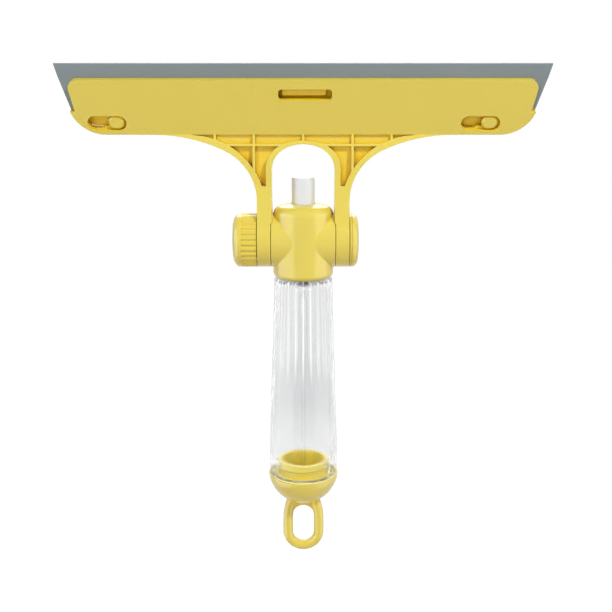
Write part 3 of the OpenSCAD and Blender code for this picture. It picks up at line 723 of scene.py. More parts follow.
class Finish(Enum):
    """Every finish on the object."""

    # The third colour of each moulded plastic is painted shade for its hollows; the head also has a darker
    # painted shade for its deepest pockets.
    YELLOW = MouldedPlastic(
        "yellow_plastic", (0.775, 0.64, 0.1), (0.767, 0.629, 0.096), (0.8, 0.6, 0.03), 0.3, glow=0.1
    )
    HEAD = MouldedPlastic(
        "head_plastic", (0.775, 0.637, 0.094), (0.767, 0.626, 0.09), (0.9, 0.64, 0.006), 0.3,
        glow=0.1, shade_reach=7e-3, alone=False, pit_shade=(0.5, 0.28, 0.002),
    )
    CAP = MouldedPlastic(
        "cap_plastic", (0.775, 0.64, 0.1), (0.767, 0.629, 0.096), (0.86, 0.6, 0.015), 0.3,
        glow=0.1, shade_reach=6e-3,
    )
    WHITE = MouldedPlastic(
        "white_plastic", (0.77, 0.81, 0.88), (0.75, 0.79, 0.86), (0.7, 0.72, 0.76), 0.42, shine=0.3, coat=0.15
    )
    PUMP = MilkyPlastic("pump_plastic", (0.86, 0.88, 0.9))
    # Painted light: the seal is brighter and yellower than natural plastic, for the cap's yellow light
    # through it and against the shade of the bottle's wall.
    SEAL = MilkyPlastic("seal_plastic", (0.97, 0.92, 0.5), 0.0)
    WASHER = MouldedPlastic(
        "washer_plastic", (0.72, 0.66, 0.45), (0.68, 0.62, 0.42), (0.6, 0.5, 0.2), 0.5, 2e-5
    )
    BLADE = BladeRubber("blade_rubber", (0.215, 0.26, 0.295), (0.25, 0.295, 0.325))
    GASKET = MilkyPlastic("gasket_plastic", (0.86, 0.87, 0.87), 0.3)
    # Clear plastic's second colour is painted shade for its rims; on the bottle, white is painted on the
    # flute ridges.
    CLEAR = ClearPlastic(
        "clear_plastic", (0.7, 0.705, 0.71), (0.12, 0.12, 0.13), 0.74,
        flutes=24, foot=-5 * MM, flutes_end=46 * MM, shoulder=102.5 * MM,
    )
    TUBE = ClearPlastic("dip_tube_plastic", (0.98, 0.985, 0.985), (0.05, 0.05, 0.05), 0.6, 0.05, film=0.3)
    BRASS = TurnedMetal("brass", (0.78, 0.56, 0.22))
    STEEL = TurnedMetal("steel", (0.62, 0.62, 0.64), 0.32)
    FOAM = OpenFoam("foam", (0.72, 0.75, 0.8))
    PILE = Microfibre("microfibre", (0.82, 0.81, 0.77), (0.54, 0.53, 0.5))
    TAPE = WovenTape("edging_tape", (0.55, 0.55, 0.53))


class Paint:
    """Builds each finish once and puts it on pieces."""

    def __init__(self) -> None:
        """Starts with no materials built."""
        self._made: dict[Finish, bpy.types.Material] = {}

    def material(self, finish: Finish) -> bpy.types.Material:
        """The material of a finish.

        Args:
            finish: which finish.

        Returns:
            Its material, built on first use.
        """
        if finish not in self._made:
            self._made[finish] = finish.value.build()
        return self._made[finish]

    def coat(self, piece: bpy.types.Object, finish: Finish) -> None:
        """Gives a whole piece one finish.

        Args:
            piece: a mesh object.
            finish: which finish.
        """
        piece.data.materials.clear()
        piece.data.materials.append(self.material(finish))
        for polygon in piece.data.polygons:
            polygon.material_index = 0


# ---- mesh helpers --------------------------------------------------------------------------------------


def smooth_group(limit_deg: float) -> bpy.types.GeometryNodeTree:
    """A modifier group that shades smooth across edges flatter than a limit.

    Args:
        limit_deg: the sharpest angle that stays smooth.

    Returns:
        The node group.
    """
    name = f"smooth_below_{limit_deg:.0f}"
    if name in bpy.data.node_groups:
        return bpy.data.node_groups[name]
    group = bpy.data.node_groups.new(name, "GeometryNodeTree")
    group.interface.new_socket("Geometry", in_out="INPUT", socket_type="NodeSocketGeometry")
    group.interface.new_socket("Geometry", in_out="OUTPUT", socket_type="NodeSocketGeometry")
    start = group.nodes.new("NodeGroupInput")
    end = group.nodes.new("NodeGroupOutput")
    angle = group.nodes.new("GeometryNodeInputMeshEdgeAngle")
    less = group.nodes.new("FunctionNodeCompare")
    less.operation = "LESS_THAN"
    less.inputs[1].default_value = math.radians(limit_deg)
    faces = group.nodes.new("GeometryNodeSetShadeSmooth")
    edges = group.nodes.new("GeometryNodeSetShadeSmooth")
    edges.domain = "EDGE"
    group.links.new(start.outputs[0], faces.inputs[0])
    group.links.new(faces.outputs[0], edges.inputs[0])
    group.links.new(angle.outputs[0], less.inputs[0])
    group.links.new(less.outputs[0], edges.inputs["Shade Smooth"])
    group.links.new(edges.outputs[0], end.inputs[0])
    return group


def soften(piece: bpy.types.Object, width: float = 0.0, limit_deg: float = 30.0) -> None:
    """Welds a solid's faces, rounds its sharp edges and shades its curves smooth.

    Args:
        piece: the object.
        width: the rounding in metres, or 0 for none.
        limit_deg: edges sharper than this are rounded and stay crisp.
    """
    weld = piece.modifiers.new("weld", "WELD")
    weld.merge_threshold = WELD_GAP
    if width > 0:
        flat = piece.modifiers.new("join_flats", "DECIMATE")
        flat.decimate_type = "DISSOLVE"
        flat.angle_limit = math.radians(FLAT_DEG)
        bevel = piece.modifiers.new("round_edges", "BEVEL")
        bevel.width = width
        bevel.segments = BEVEL_STEPS
        bevel.limit_method = "ANGLE"
        bevel.angle_limit = math.radians(limit_deg)
        bevel.use_clamp_overlap = True
        bevel.miter_outer = "MITER_ARC"
    smooth = piece.modifiers.new("smooth", "NODES")
    smooth.node_group = smooth_group(limit_deg)
    flats = piece.modifiers.new("keep_flats", "WEIGHTED_NORMAL")
    flats.keep_sharp = True


def new_piece(
    name: str, verts: Sequence[Sequence[float]], faces: Iterable[Sequence[int]]
) -> bpy.types.Object:
    """Links a new mesh object, shaded smooth.

    Args:
        name: the piece's name.
        verts: its points in metres.
        faces: its faces, as point numbers.

    Returns:
        The object.
    """
    mesh = bpy.data.meshes.new(name)
    mesh.from_pydata([tuple(v) for v in verts], [], [tuple(f) for f in faces])
    mend = bmesh.new()
    mend.from_mesh(mesh)
    bmesh.ops.recalc_face_normals(mend, faces=mend.faces)
    mend.to_mesh(mesh)
    mend.free()
    for polygon in mesh.polygons:
        polygon.use_smooth = True
    piece = bpy.data.objects.new(name, mesh)
    bpy.context.scene.collection.objects.link(piece)
    return piece


def ring_faces(rings: int, sides: int, capped: bool = False) -> list[tuple[int, ...]]:
    """Quads between closed rings of points that follow each other.

    Args:
        rings: how many rings.
        sides: points in each ring.
        capped: whether the first and last rings are filled.

    Returns:
        The faces.
    """
    faces: list[tuple[int, ...]] = []
    for ring in range(rings - 1):
        for side in range(sides):
            nxt = (side + 1) % sides
            low, high = ring * sides, (ring + 1) * sides
            faces.append((low + side, low + nxt, high + nxt, high + side))
    if capped:
        faces.append(tuple(reversed(range(sides))))
        faces.append(tuple(range((rings - 1) * sides, rings * sides)))
    return faces


def loop_faces(rings: int, sides: int) -> list[tuple[int, ...]]:
    """Quads between closed rings of points, the last of which joins the first.

    Args:
        rings: how many rings.
        sides: points in each ring.

    Returns:
        The faces.
    """
    last = (rings - 1) * sides
    closing = [(last + k, last + (k + 1) % sides, (k + 1) % sides, k) for k in range(sides)]
    return ring_faces(rings, sides) + closing


def revolve(
    name: str,
    profile: Sequence[tuple[float, float]],
    sides: int,
    radius_at: Callable[[float, float, int], float],
) -> bpy.types.Object:
    """Turns a closed profile about the Z axis.

    Args:
        name: the piece's name.
        profile: (radius, height) points in metres, round the wall.
        sides: steps round the axis.
        radius_at: changes a point's radius from its radius, its angle and its place in the profile.

    Returns:
        The object.
    """
    verts = []
    for index, (radius, height) in enumerate(profile):
        for side in range(sides):
            angle = 2 * math.pi * side / sides
            reach = radius_at(radius, angle, index)
            verts.append((reach * math.cos(angle), reach * math.sin(angle), height))
    return new_piece(name, verts, loop_faces(len(profile), sides))


def helix(
    name: str,
    radius: float,
    height: float,
    pitch: float,
    turns: float,
    low: float,
    outward: bool,
    sides: int = 72,
) -> bpy.types.Object:
    """A thread ridge that runs out at both ends.

    Args:
        name: the piece's name.
        radius: the radius of the wall that carries it.
        height: how far it stands off the wall.
        pitch: the rise of one turn.
        turns: how many turns.
        low: the height of its first end.
        outward: whether it stands outward or inward.
        sides: steps round each turn.

    Returns:
        The object, about the Z axis.
    """
    steps = int(sides * turns)
    sign = 1 if outward else -1
    sunk, half_foot, half_crest = 0.05 * MM, 0.34, 0.14
    run_out, slimmest = 10, 0.4
    shape = [(-sunk, -half_foot), (1.0, -half_crest), (1.0, half_crest), (-sunk, half_foot)]
    verts = []
    for step in range(steps + 1):
        angle = 2 * math.pi * turns * step / steps
        fade = min(1.0, step / run_out, (steps - step) / run_out)
        for lift, across in shape:
            reach = radius + sign * (lift if lift < 0 else height * fade * lift)
            z = low + pitch * turns * step / steps + across * pitch * (slimmest + (1 - slimmest) * fade)
            verts.append((reach * math.cos(angle), reach * math.sin(angle), z))
    faces = ring_faces(steps + 1, len(shape), capped=True)
    return new_piece(name, verts, faces)


def rounded(corners: Sequence[tuple[float, float, float]], steps: int = 4) -> list[tuple[float, float]]:
    """Rounds the corners of a closed outline.

    Args:
        corners: (x, y, radius) of each corner, in order.
        steps: faces round each corner.

    Returns:
        The outline's points.
    """
    points: list[tuple[float, float]] = []
    for index, (x, y, radius) in enumerate(corners):
        here = Vector((x, y))
        back = Vector(corners[index - 1][:2]) - here
        ahead = Vector(corners[(index + 1) % len(corners)][:2]) - here
        if radius <= 0:
            points.append((x, y))
            continue
        reach = min(radius / math.tan(back.angle(ahead) / 2), 0.48 * back.length, 0.48 * ahead.length)
        start, end = here + back.normalized() * reach, here + ahead.normalized() * reach
        for step in range(steps + 1):
            t = step / steps
            points.append(tuple(start * (1 - t) ** 2 + here * 2 * t * (1 - t) + end * t**2))
    return points


def refined(outline: Sequence[tuple[float, float]], longest: float) -> list[tuple[float, float]]:
    """Splits the long sides of a closed outline.

    Args:
        outline: its points.
        longest: the longest side to leave.

    Returns:
        The finer outline.
    """
    points = []
    for index, (x, y) in enumerate(outline):
        nx, ny = outline[(index + 1) % len(outline)]
        count = max(1, math.ceil(math.hypot(nx - x, ny - y) / longest))
        points += [(x + (nx - x) * k / count, y + (ny - y) * k / count) for k in range(count)]
    return points


def baked(piece: bpy.types.Object) -> bpy.types.Mesh:
    """The mesh of a piece with its modifiers applied.

    Args:
        piece: the object.

    Returns:
        A new mesh.
    """
    graph = bpy.context.evaluated_depsgraph_get()
    return bpy.data.meshes.new_from_object(piece.evaluated_get(graph))


def settle(piece: bpy.types.Object) -> None:
    """Applies a piece's modifiers.

    Args:
        piece: the object.
    """
    mesh = baked(piece)
    old = piece.data
    piece.modifiers.clear()
    piece.data = mesh
    bpy.data.meshes.remove(old)


# ---- sub-assemblies ------------------------------------------------------------------------------------


@dataclass(frozen=True)
class Bench:
    """What every sub-assembly works with."""

    nodes: dict[str, bpy.types.Object]
    paint: Paint

    def dress(
        self, node: str, finish: Finish, edge: float = 0.0, limit_deg: float = 30.0
    ) -> bpy.types.Object:
        """Gives a CAD node its finish and softens its edges.

        Args:
            node: the node's name.
            finish: its finish.
            edge: the rounding of its edges in metres.
            limit_deg: edges sharper than this are rounded.

        Returns:
            The node's object.
        """
        piece = self.nodes[node]
        self.paint.coat(piece, finish)
        soften(piece, edge, limit_deg)
        return piece

    def add(
        self, piece: bpy.types.Object, finish: Finish, body: str, slot: str, stands_for: Sequence[str] = ()
    ) -> bpy.types.Object:
        """Gives a new piece its finish and fixes it to a body.

        Args:
            piece: the piece, in place.
            finish: its finish.
            body: the body that it rides on.
            slot: not used.
            stands_for: CAD nodes that it replaces.

        Returns:
            The piece.
        """
        self.paint.coat(piece, finish)
        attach(piece, body)
        if stands_for:
            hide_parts(*stands_for)
        return piece


@dataclass(frozen=True)
class Head:
    """The yoke and the rubber blade."""

    edge: float = 0.3 * MM
    lip_edge: float = 0.12 * MM

    def build(self, bench: Bench) -> None:
        """Dresses the head's solids.

        Args:
            bench: the nodes and paint.
        """
        bench.dress("head_yoke", Finish.HEAD, self.edge)
        bench.dress("squeegee_blade", Finish.BLADE, self.lip_edge)


@dataclass(frozen=True)
class Lying:
    """A node's box in a frame that leans with it: x along the blade, y out of its back, z up its slope."""

    turn: Matrix
    low: Vector
    high: Vector

    @classmethod
    def of(cls, node: bpy.types.Object) -> "Lying":
        """Measures a node whose largest face is its back or front.

        Args:
            node: the CAD node.

        Returns:
            Its leaning box.
        """
        normal = max(node.data.polygons, key=lambda p: p.area).normal
        back = normal.copy() if normal.y > 0 else -normal
        along = Vector((1.0, 0.0, 0.0))
        turn = Matrix((along, back, along.cross(back))).transposed()
        local = [turn.transposed() @ v.co for v in node.data.vertices]
        low = Vector(min(p[i] for p in local) for i in range(3))
        high = Vector(max(p[i] for p in local) for i in range(3))
        return cls(turn, low, high)


@dataclass(frozen=True)
class WashingPad:
    """The carrier, its foam and the microfibre cover with its sewn edge."""

    voxel: float = 2.2 * MM
    pressure: float = 4.0
    cloth_quality: int = 5
    cloth_mass: float = 0.1
    frames: int = 20
    most: float = 1.9 * MM
    swell_room: float = 1.6 * MM
    held: float = 1.6 * MM
    corner: float = 8.0 * MM
    insets: tuple[float, ...] = (0.7 * MM, 1.0 * MM, 2.2 * MM, 4.2 * MM)
    waist: float = 0.6
    crown: float = 1.2 * MM
    hem: float = 2.4 * MM
    hem_t: float = 0.35 * MM
    hem_in: float = 0.9 * MM
    lap: float = 0.1 * MM
    stitch: float = 2.2 * MM
    stitch_gap: float = 1.0 * MM
    stitch_at: float = 0.62
    thread: tuple[tuple[float, float, float], ...] = (
        (0.0, 0.05, -0.12), (0.2, 0.17, 0.02), (0.5, 0.19, 0.07), (0.8, 0.17, 0.02), (1.0, 0.05, -0.12),
    )
    pile: float = 0.22 * MM
    pile_patch: float = 1.6 * MM
    gather: float = 0.18 * MM
    gather_up: float = 3.5 * MM
    gather_reach: float = 3.0 * MM
    gather_x: float = 2.1 * MM
    gather_z: float = 1.7 * MM
    gather_sway: float = 1.4
    gather_patch: float = 9 * MM
    lump: float = 0.35 * MM
    lump_patch: float = 16 * MM
    sink: float = 0.2 * MM
    sewn: float = 2.0 * MM
    pocket_r: float = 5 * MM
    rim_h: float = 2.7 * MM
    spare: float = 0.1 * MM
    edge: float = 0.25 * MM

    def outline(self, lying: Lying, inset: float, longest: float) -> list[tuple[float, float]]:
        """The cover's outline across its slope.

        Args:
            lying: the cover's leaning box.
            inset: how far inside the box it runs.
            longest: the longest side to leave.

        Returns:
            (x, z) points in the leaning frame.
        """
        x0, x1 = lying.low.x + inset, lying.high.x - inset
        z0, z1 = lying.low.z + inset, lying.high.z - inset
        radius = max(self.corner - inset, 0.5 * MM)
        corners = [(x1, z0, radius), (x1, z1, radius), (x0, z1, radius), (x0, z0, radius)]
        return refined(rounded(corners, 8), longest)

    def block(self, lying: Lying, levels: Sequence[tuple[float, float]], name: str) -> bpy.types.Object:
        """A closed block with rounded ends, in the leaning frame.

        Args:
            lying: the cover's leaning box.
            levels: (depth, inset) of each ring, from the front to the back.
            name: the object's name.

        Returns:
            The block.
        """
        verts: list[tuple[float, float, float]] = []
        for depth, inset in levels:
            ring = self.outline(lying, inset, 1.0)
            verts += [(x, depth, z) for x, z in ring]
        return new_piece(name, verts, ring_faces(len(levels), len(verts) // len(levels), capped=True))

    def swollen(self, lying: Lying, front: float) -> bpy.types.Object:
        """The cover as a soft cushion, swollen by a cloth simulation where time allows.

        Args:
            lying: the cover's leaning box.
            front: the depth of its front edge.

        Returns:
            The cushion, in the leaning frame.
        """
        back = lying.high.y - self.swell_room
        depths = (front, front + self.waist * (back - front), back - self.crown, back)
        cushion = self.block(lying, list(zip(depths, self.insets)), "microfibre_pad")
        remesh = cushion.modifiers.new("even", "REMESH")
        remesh.mode = "VOXEL"
        remesh.voxel_size = self.voxel
        settle(cushion)
        rest = np.array([v.co for v in cushion.data.vertices], float)
        held = cushion.vertex_groups.new(name="held")
        held.add([i for i, p in enumerate(rest) if p[1] < front + self.held], 1.0, "REPLACE")
        cloth = cushion.modifiers.new("swell", "CLOTH")
        cloth.settings.quality = self.cloth_quality
        cloth.settings.mass = self.cloth_mass
        cloth.settings.use_pressure = True
        cloth.settings.uniform_pressure_force = self.pressure
        cloth.settings.vertex_group_mass = "held"
        cloth.settings.effector_weights.gravity = 0.0
        cloth.point_cache.frame_end = self.frames
        for step in range(1, self.frames + 1):
            bpy.context.scene.frame_set(step)
        settle(cushion)
        cushion.vertex_groups.clear()
        moved = np.array([v.co for v in cushion.data.vertices], float) - rest
        reach = np.linalg.norm(moved, axis=1)
        LOG.info("pad swelled by %.2f mm", reach.max() / MM)
        moved *= np.minimum(1.0, self.most / np.maximum(reach, 1e-9))[:, None]
        cushion.data.vertices.foreach_set("co", (rest + moved).ravel())
        fine = cushion.modifiers.new("fine", "SUBSURF")
        fine.levels = fine.render_levels = 1
        settle(cushion)
        self.ruffle(cushion, front)
        return cushion

    def ruffle(self, cushion: bpy.types.Object, front: float) -> None:
        """Gathers the cover near its hem and breaks up its pile.

        Args:
            cushion: the cover, in the leaning frame.
            front: the depth of its front edge.
        """
        for vertex in cushion.data.vertices:
            p = vertex.co
            near = max(0.0, 1.0 - abs(p.y - front - self.gather_up) / self.gather_reach)
            round_it = p.x / self.gather_x + p.z / self.gather_z
            sway = self.gather_sway * noise.noise(p / self.gather_patch)
            gather = self.gather * near * math.sin(round_it + sway)
            lump = self.lump * noise.noise(p / self.lump_patch) + self.pile * noise.noise(p / self.pile_patch)
            free = min(1.0, max(0.0, (p.y - front) / self.sewn))
            vertex.co = p + vertex.normal * ((gather + lump - self.sink) * free)

    def hollow(self, cushion: bpy.types.Object, lying: Lying, carrier: Lying, foam: Lying) -> None:
        """Cuts the pocket in which the carrier and the foam sit.

        Args:
            cushion: the cover, in the leaning frame.
            lying: its leaning box.
            carrier: the carrier's leaning box.
            foam: the foam's leaning box.
        """
        start = lying.low.y - 2 * MM
        for box, end, name in (
            (carrier, foam.low.y + self.rim_h, "pocket_wide"),
            (foam, foam.high.y, "pocket_deep"),
        ):
            side, low, high = box.high.x + self.spare, box.low.z - self.spare, box.high.z + self.spare
            corners = ((side, low), (side, high), (-side, high), (-side, low))
            ring = rounded([(x, z, self.pocket_r) for x, z in corners], 6)
            verts = [(x, depth, z) for depth in (start, end) for x, z in ring]
            cutter = new_piece(name, verts, ring_faces(2, len(ring), capped=True))
            cut = cushion.modifiers.new("pocket", "BOOLEAN")
            cut.operation = "DIFFERENCE"
            cut.solver = "EXACT"
            cut.object = cutter
            settle(cushion)
            bpy.data.objects.remove(cutter)

    def band(self, lying: Lying, front: float) -> bpy.types.Object:
        """The tape sewn round the cover's edge.

        Args:
            lying: the cover's leaning box.
            front: the depth of its front edge.

        Returns:
            The tape, in the leaning frame.
        """
        near, far = front - self.lap, front + self.hem
        inner_r, outer_r = 0.2 * MM, 0.25 * MM
        section = rounded([(near, self.hem_in, inner_r), (near, self.hem_t, outer_r),
                           (far, self.hem_t - self.lap, outer_r), (far, self.hem_in, inner_r)], 3)
        verts: list[tuple[float, float, float]] = []
        for depth, inset in section:
            verts += [(x, depth, z) for x, z in self.outline(lying, inset, 2.0 * MM)]
        sides = len(verts) // len(section)
        return new_piece("pad_edging", verts, loop_faces(len(section), sides))

    def stitches(self, lying: Lying, front: float) -> bpy.types.Object:
        """The row of thread that holds the tape.

        Args:
            lying: the cover's leaning box.
            front: the depth of its front edge.

        Returns:
            The stitches, in the leaning frame.
        """
        depth = front + self.stitch_at * self.hem
        path = [Vector((x, depth, z)) for x, z in self.outline(lying, 0.2 * MM, 0.4 * MM)]
        deeper = Vector((0.0, 1.0, 0.0))
        step, sides = self.stitch + self.stitch_gap, 6
        verts: list[Vector] = []
        faces: list[tuple[int, ...]] = []
        walked = 0.0
        start = 0
        for index in range(1, len(path)):
            walked += (path[index] - path[index - 1]).length
            if walked < step:
                continue
            points = max(1, int((index - start) * self.stitch / step))
            a, b = path[start], path[min(start + points, len(path) - 1)]
            along = (b - a).normalized()
            out = along.cross(deeper).normalized()
            out = out if out.dot(a) > 0 else -out
            base = len(verts)
            for t, thick, lift in self.thread:
                centre = a.lerp(b, t) + out * lift * MM
                for k in range(sides):
                    angle = 2 * math.pi * k / sides
                    verts.append(centre + (out * math.cos(angle) + deeper * math.sin(angle)) * thick * MM)
            hull = ring_faces(len(self.thread), sides, capped=True)
            faces += [tuple(base + corner for corner in face) for face in hull]
            walked = 0.0
            start = index
        return new_piece("pad_stitching", verts, faces)

    def build(self, bench: Bench) -> None:
        """Makes the pad.

        Args:
            bench: the nodes and paint.
        """
        carrier = bench.dress("pad_carrier", Finish.HEAD, self.edge)
        foam = bench.dress("pad_foam", Finish.FOAM)
        lying = Lying.of(bench.nodes["microfibre_cover"])
        front = lying.low.y
        cushion = self.swollen(lying, front)
        self.hollow(cushion, lying, Lying.of(carrier), Lying.of(foam))
        tape, thread = self.band(lying, front), self.stitches(lying, front)
        for piece, finish, stands_for in (
            (cushion, Finish.PILE, ["microfibre_cover"]), (tape, Finish.TAPE, []), (thread, Finish.TAPE, []),
        ):
            piece.data.transform(lying.turn.to_4x4())
            piece.data.update()
            bench.add(piece, finish, "pad", "microfibre", stands_for)


@dataclass(frozen=True)
class Pivot:
    """The body between the arms, the locking knob and the end cap."""

    body_edge: float = 0.25 * MM
    body_crisp_deg: float = 25.0
    knob_edge: float = 0.15 * MM
    thin_edge: float = 0.1 * MM
    crisp_deg: float = 35.0

    def build(self, bench: Bench) -> None:
        """Dresses the pivot's solids.

        Args:
            bench: the nodes and paint.
        """
        bench.dress("swivel_body", Finish.YELLOW, self.body_edge, self.body_crisp_deg)
        bench.dress("locking_knob", Finish.YELLOW, self.knob_edge, self.crisp_deg)
        bench.dress("pivot_end_cap", Finish.YELLOW, self.thin_edge, self.crisp_deg)
        bench.dress("friction_washer", Finish.WASHER, self.thin_edge)
        for node, finish in (
            ("knob_stud", Finish.BRASS), ("threaded_insert", Finish.BRASS),
            ("retaining_washer", Finish.STEEL), ("pivot_screw", Finish.STEEL),
        ):
            bench.dress(node, finish)


@dataclass(frozen=True)
class Pump:
    """The mist pump under its button."""

    button_edge: float = 0.35 * MM
    button_crisp_deg: float = 40.0
    thin_edge: float = 0.1 * MM
    collar_edge: float = 0.15 * MM
    ball_crisp_deg: float = 60.0
    wire: float = 0.3 * MM
    turns: float = 7.0
    closed: float = 0.75
    wire_steps: int = 36
    wire_sides: int = 10
    wire_flat: float = 0.95
    travel: float = 4.5 * MM

    def spring(self, low: Vector, high: Vector) -> bpy.types.Object:
        """The return spring, with its end turns closed.

        Args:
            low: the lowest corner of the spring's box.
            high: its highest corner.

        Returns:
            The spring.
        """
        radius = (high.x - low.x) / 2 - self.wire
        rise = high.z - low.z - 2 * self.wire
        dead = 2 * self.wire * self.closed
        steps, sides = int(self.wire_steps * self.turns), self.wire_sides
        verts = []
        for step in range(steps + 1):
            turn = self.turns * step / steps
            bearing = 2 * math.pi * turn
            if turn < self.closed:
                climb = 2 * self.wire * turn
            elif turn > self.turns - self.closed:
                climb = rise - 2 * self.wire * (self.turns - turn)
            else:
                climb = dead + (rise - 2 * dead) * (turn - self.closed) / (self.turns - 2 * self.closed)
            for side in range(sides):
                lean = 2 * math.pi * side / sides
                reach = radius + self.wire * math.cos(lean)
                height = low.z + self.wire + climb + self.wire * math.sin(lean) * self.wire_flat
                verts.append((reach * math.cos(bearing), reach * math.sin(bearing), height))
        return new_piece("return_spring", verts, ring_faces(steps + 1, sides, capped=True))

    def build(self, bench: Bench) -> None:
        """Dresses the pump's solids and winds its spring.

        Args:
            bench: the nodes and paint.
        """
        bench.dress("spray_button", Finish.WHITE, self.button_edge, self.button_crisp_deg)
        bench.dress("nozzle_insert", Finish.WHITE, self.thin_edge)
        bench.dress("pump_collar", Finish.WHITE, self.collar_edge)
        bench.dress("pump_gasket", Finish.GASKET, self.thin_edge)
        low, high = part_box("pump_spring")
        spring = bench.add(self.spring(low, high), Finish.STEEL, "handle", "steel", ["pump_spring"])
        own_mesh(spring)
        bench.dress("inlet_ball", Finish.STEEL, 0.0, self.ball_crisp_deg)
        bench.dress("pump_stem", Finish.PUMP)
        bench.dress("pump_piston", Finish.PUMP)
        bench.dress("pump_barrel", Finish.TUBE)


@dataclass(frozen=True)
class Bottle:
    """The clear bottle that is the handle, and its dip tube."""

    top_r: float = 15.55 * MM
    band_r: float = 18.95 * MM
    wall: float = 1.8 * MM
    neck_r: float = 12.6 * MM
    bore_r: float = 10.4 * MM
    neck_len: float = 13.0 * MM
    band_len: float = 13.0 * MM
    mouth_r: float = 14.1 * MM
    mouth_len: float = 1.5 * MM
    taper: float = 10.0 * MM
    thread: float = 0.45 * MM
    pitch: float = 3.0 * MM
    flutes: int = 24
    flute_len: float = 57.0 * MM
    flute_depth: float = 0.55 * MM
    flute_r: float = 2.4 * MM
    flute_rim: float = 0.9 * MM
    shoulder_drop: float = 3.5 * MM
    lip_r: float = 0.3 * MM
    smooth_r: float = 30 * MM
    ring_len: float = 1.6 * MM
    thread_turns: float = 1.6
    thread_up: float = 1.2 * MM
    tube_crisp_deg: float = 45.0
    sides: int = 576

    def profile(self, low: float, high: float) -> list[tuple[float, float]]:
        """The wall's section, from the neck's rim down the outside and up the inside.

        Args:
            low: the height of its lower end.
            high: the height of its neck's rim.

        Returns:
            (radius, height) points.
        """
        shoulder = high - self.neck_len
        band = low + self.band_len
        inner = self.band_r - self.wall
        ring = low + self.mouth_len
        mouth = self.mouth_r + self.thread
        corners = [
            (self.bore_r, high, self.lip_r),
            (self.neck_r, high, self.lip_r),
            (self.neck_r, shoulder, 0.0),
            (self.top_r, shoulder, 0.6 * MM),
            (self.band_r, band, self.smooth_r),
            (self.band_r, low, 0.5 * MM),
            (mouth, low, 0.6 * MM),
            (mouth, ring, self.smooth_r),
            (inner, ring + self.taper, self.smooth_r),
            (inner, band, 10 * MM),
            (self.top_r - self.wall, shoulder - self.shoulder_drop, 2 * MM),
            (self.bore_r, shoulder - 1 * MM, 1 * MM),
        ]
        return refined(rounded(corners, 5), self.ring_len)

    def shell(self, low: float, high: float) -> bpy.types.Object:
        """The fluted shell.

        Args:
            low: the height of its lower end.
            high: the height of its neck's rim.

        Returns:
            The bottle.
        """
        profile = self.profile(low, high)
        shoulder, band = high - self.neck_len, low + self.band_len
        slope = (self.band_r - self.top_r) / (shoulder - band)
        pitch = 2 * math.pi / self.flutes

        def fluted(radius: float, angle: float, index: int) -> float:
            """The wall's radius with its flutes.

            Args:
                radius: the plain radius.
                angle: the angle round the axis.
                index: the point's place in the profile.

            Returns:
                The radius there.
            """
            down = shoulder - profile[index][1]
            plain = self.top_r + slope * down
            if not -0.01 * MM <= down <= self.flute_len or radius < plain - self.flute_rim:
                return radius
            depth = self.flute_depth * (1 - down / self.flute_len)
            centre = plain + self.flute_r - depth
            off = (angle % pitch) - pitch / 2
            reach = self.flute_r**2 - (centre * math.sin(off)) ** 2
            return radius if reach <= 0 else min(radius, centre * math.cos(off) - math.sqrt(reach))

        return revolve("bottle_shell", profile, self.sides, fluted)

    def build(self, bench: Bench) -> None:
        """Makes the bottle and dresses its tube.

        Args:
            bench: the nodes and paint.
        """
        low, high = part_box("bottle")
        bench.add(self.shell(low.z, high.z), Finish.CLEAR, "handle", "clear_plastic", ["bottle"])
        ridge = helix("bottle_thread", self.mouth_r + self.thread, self.thread * 0.9, self.pitch,
                      self.thread_turns, low.z + self.thread_up, outward=False)
        bench.add(ridge, Finish.CLEAR, "handle", "clear_plastic")
        bench.dress("dip_tube", Finish.TUBE, 0.0, self.tube_crisp_deg)


@dataclass(frozen=True)
class BaseCap:
    """The round cap with its threaded cup and the hanging loop, and the seal above it."""

    cup_r: float = 13.8 * MM
    thread: float = 0.24 * MM
    pitch: float = 3.0 * MM
    thread_turns: float = 1.5
    thread_up: float = 2.4 * MM
    edge: float = 0.3 * MM
    crisp_deg: float = 35.0
    seal_edge: float = 0.15 * MM

    def build(self, bench: Bench) -> None:
        """Dresses the cap and adds its thread.

        Args:
            bench: the nodes and paint.
        """
        bench.dress("base_cap", Finish.CAP, self.edge, self.crisp_deg)
        bench.dress("bottle_seal", Finish.SEAL, self.seal_edge)
        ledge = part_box("bottle_seal")[1].z
        ridge = helix("cup_thread", self.cup_r, self.thread, self.pitch, self.thread_turns,
                      ledge + self.thread_up, outward=True)
        bench.add(ridge, Finish.YELLOW, "cap", "yellow_plastic")


@dataclass(frozen=True)
class Lamp:
    """A rectangular studio light, in metres and watts.

    A mirrored lamp shows in gloss. One that lights nothing matt is there for its reflection alone.
    """

    name: str
    place: Vector
    width: float
    height: float
    power: float
    mirrored: bool = False
    lights: bool = True

    def build(self, target: Vector) -> None:
        """Hangs the light and aims it.

        Args:
            target: the point that it faces.
        """
        data = bpy.data.lights.new(self.name, "AREA")
        data.shape = "RECTANGLE"
        data.size, data.size_y, data.energy = self.width, self.height, self.power
        lamp = bpy.data.objects.new(self.name, data)
        lamp.location = self.place
        lamp.visible_glossy = self.mirrored
        lamp.visible_diffuse = self.lights
        lamp.visible_transmission = self.lights
        lamp.rotation_euler = (target - self.place).to_track_quat("-Z", "Y").to_euler()
        bpy.context.scene.collection.objects.link(lamp)


def around(angle_deg: float, distance: float, height: float) -> Vector:
    """A place round the object, by its angle from the camera's side.

    Args:
        angle_deg: positive to the right.
        distance: from the axis, in metres.
        height: in metres.

    Returns:
        The point.
    """
    angle = math.radians(angle_deg)
    return Vector((distance * math.sin(angle), -distance * math.cos(angle), height))


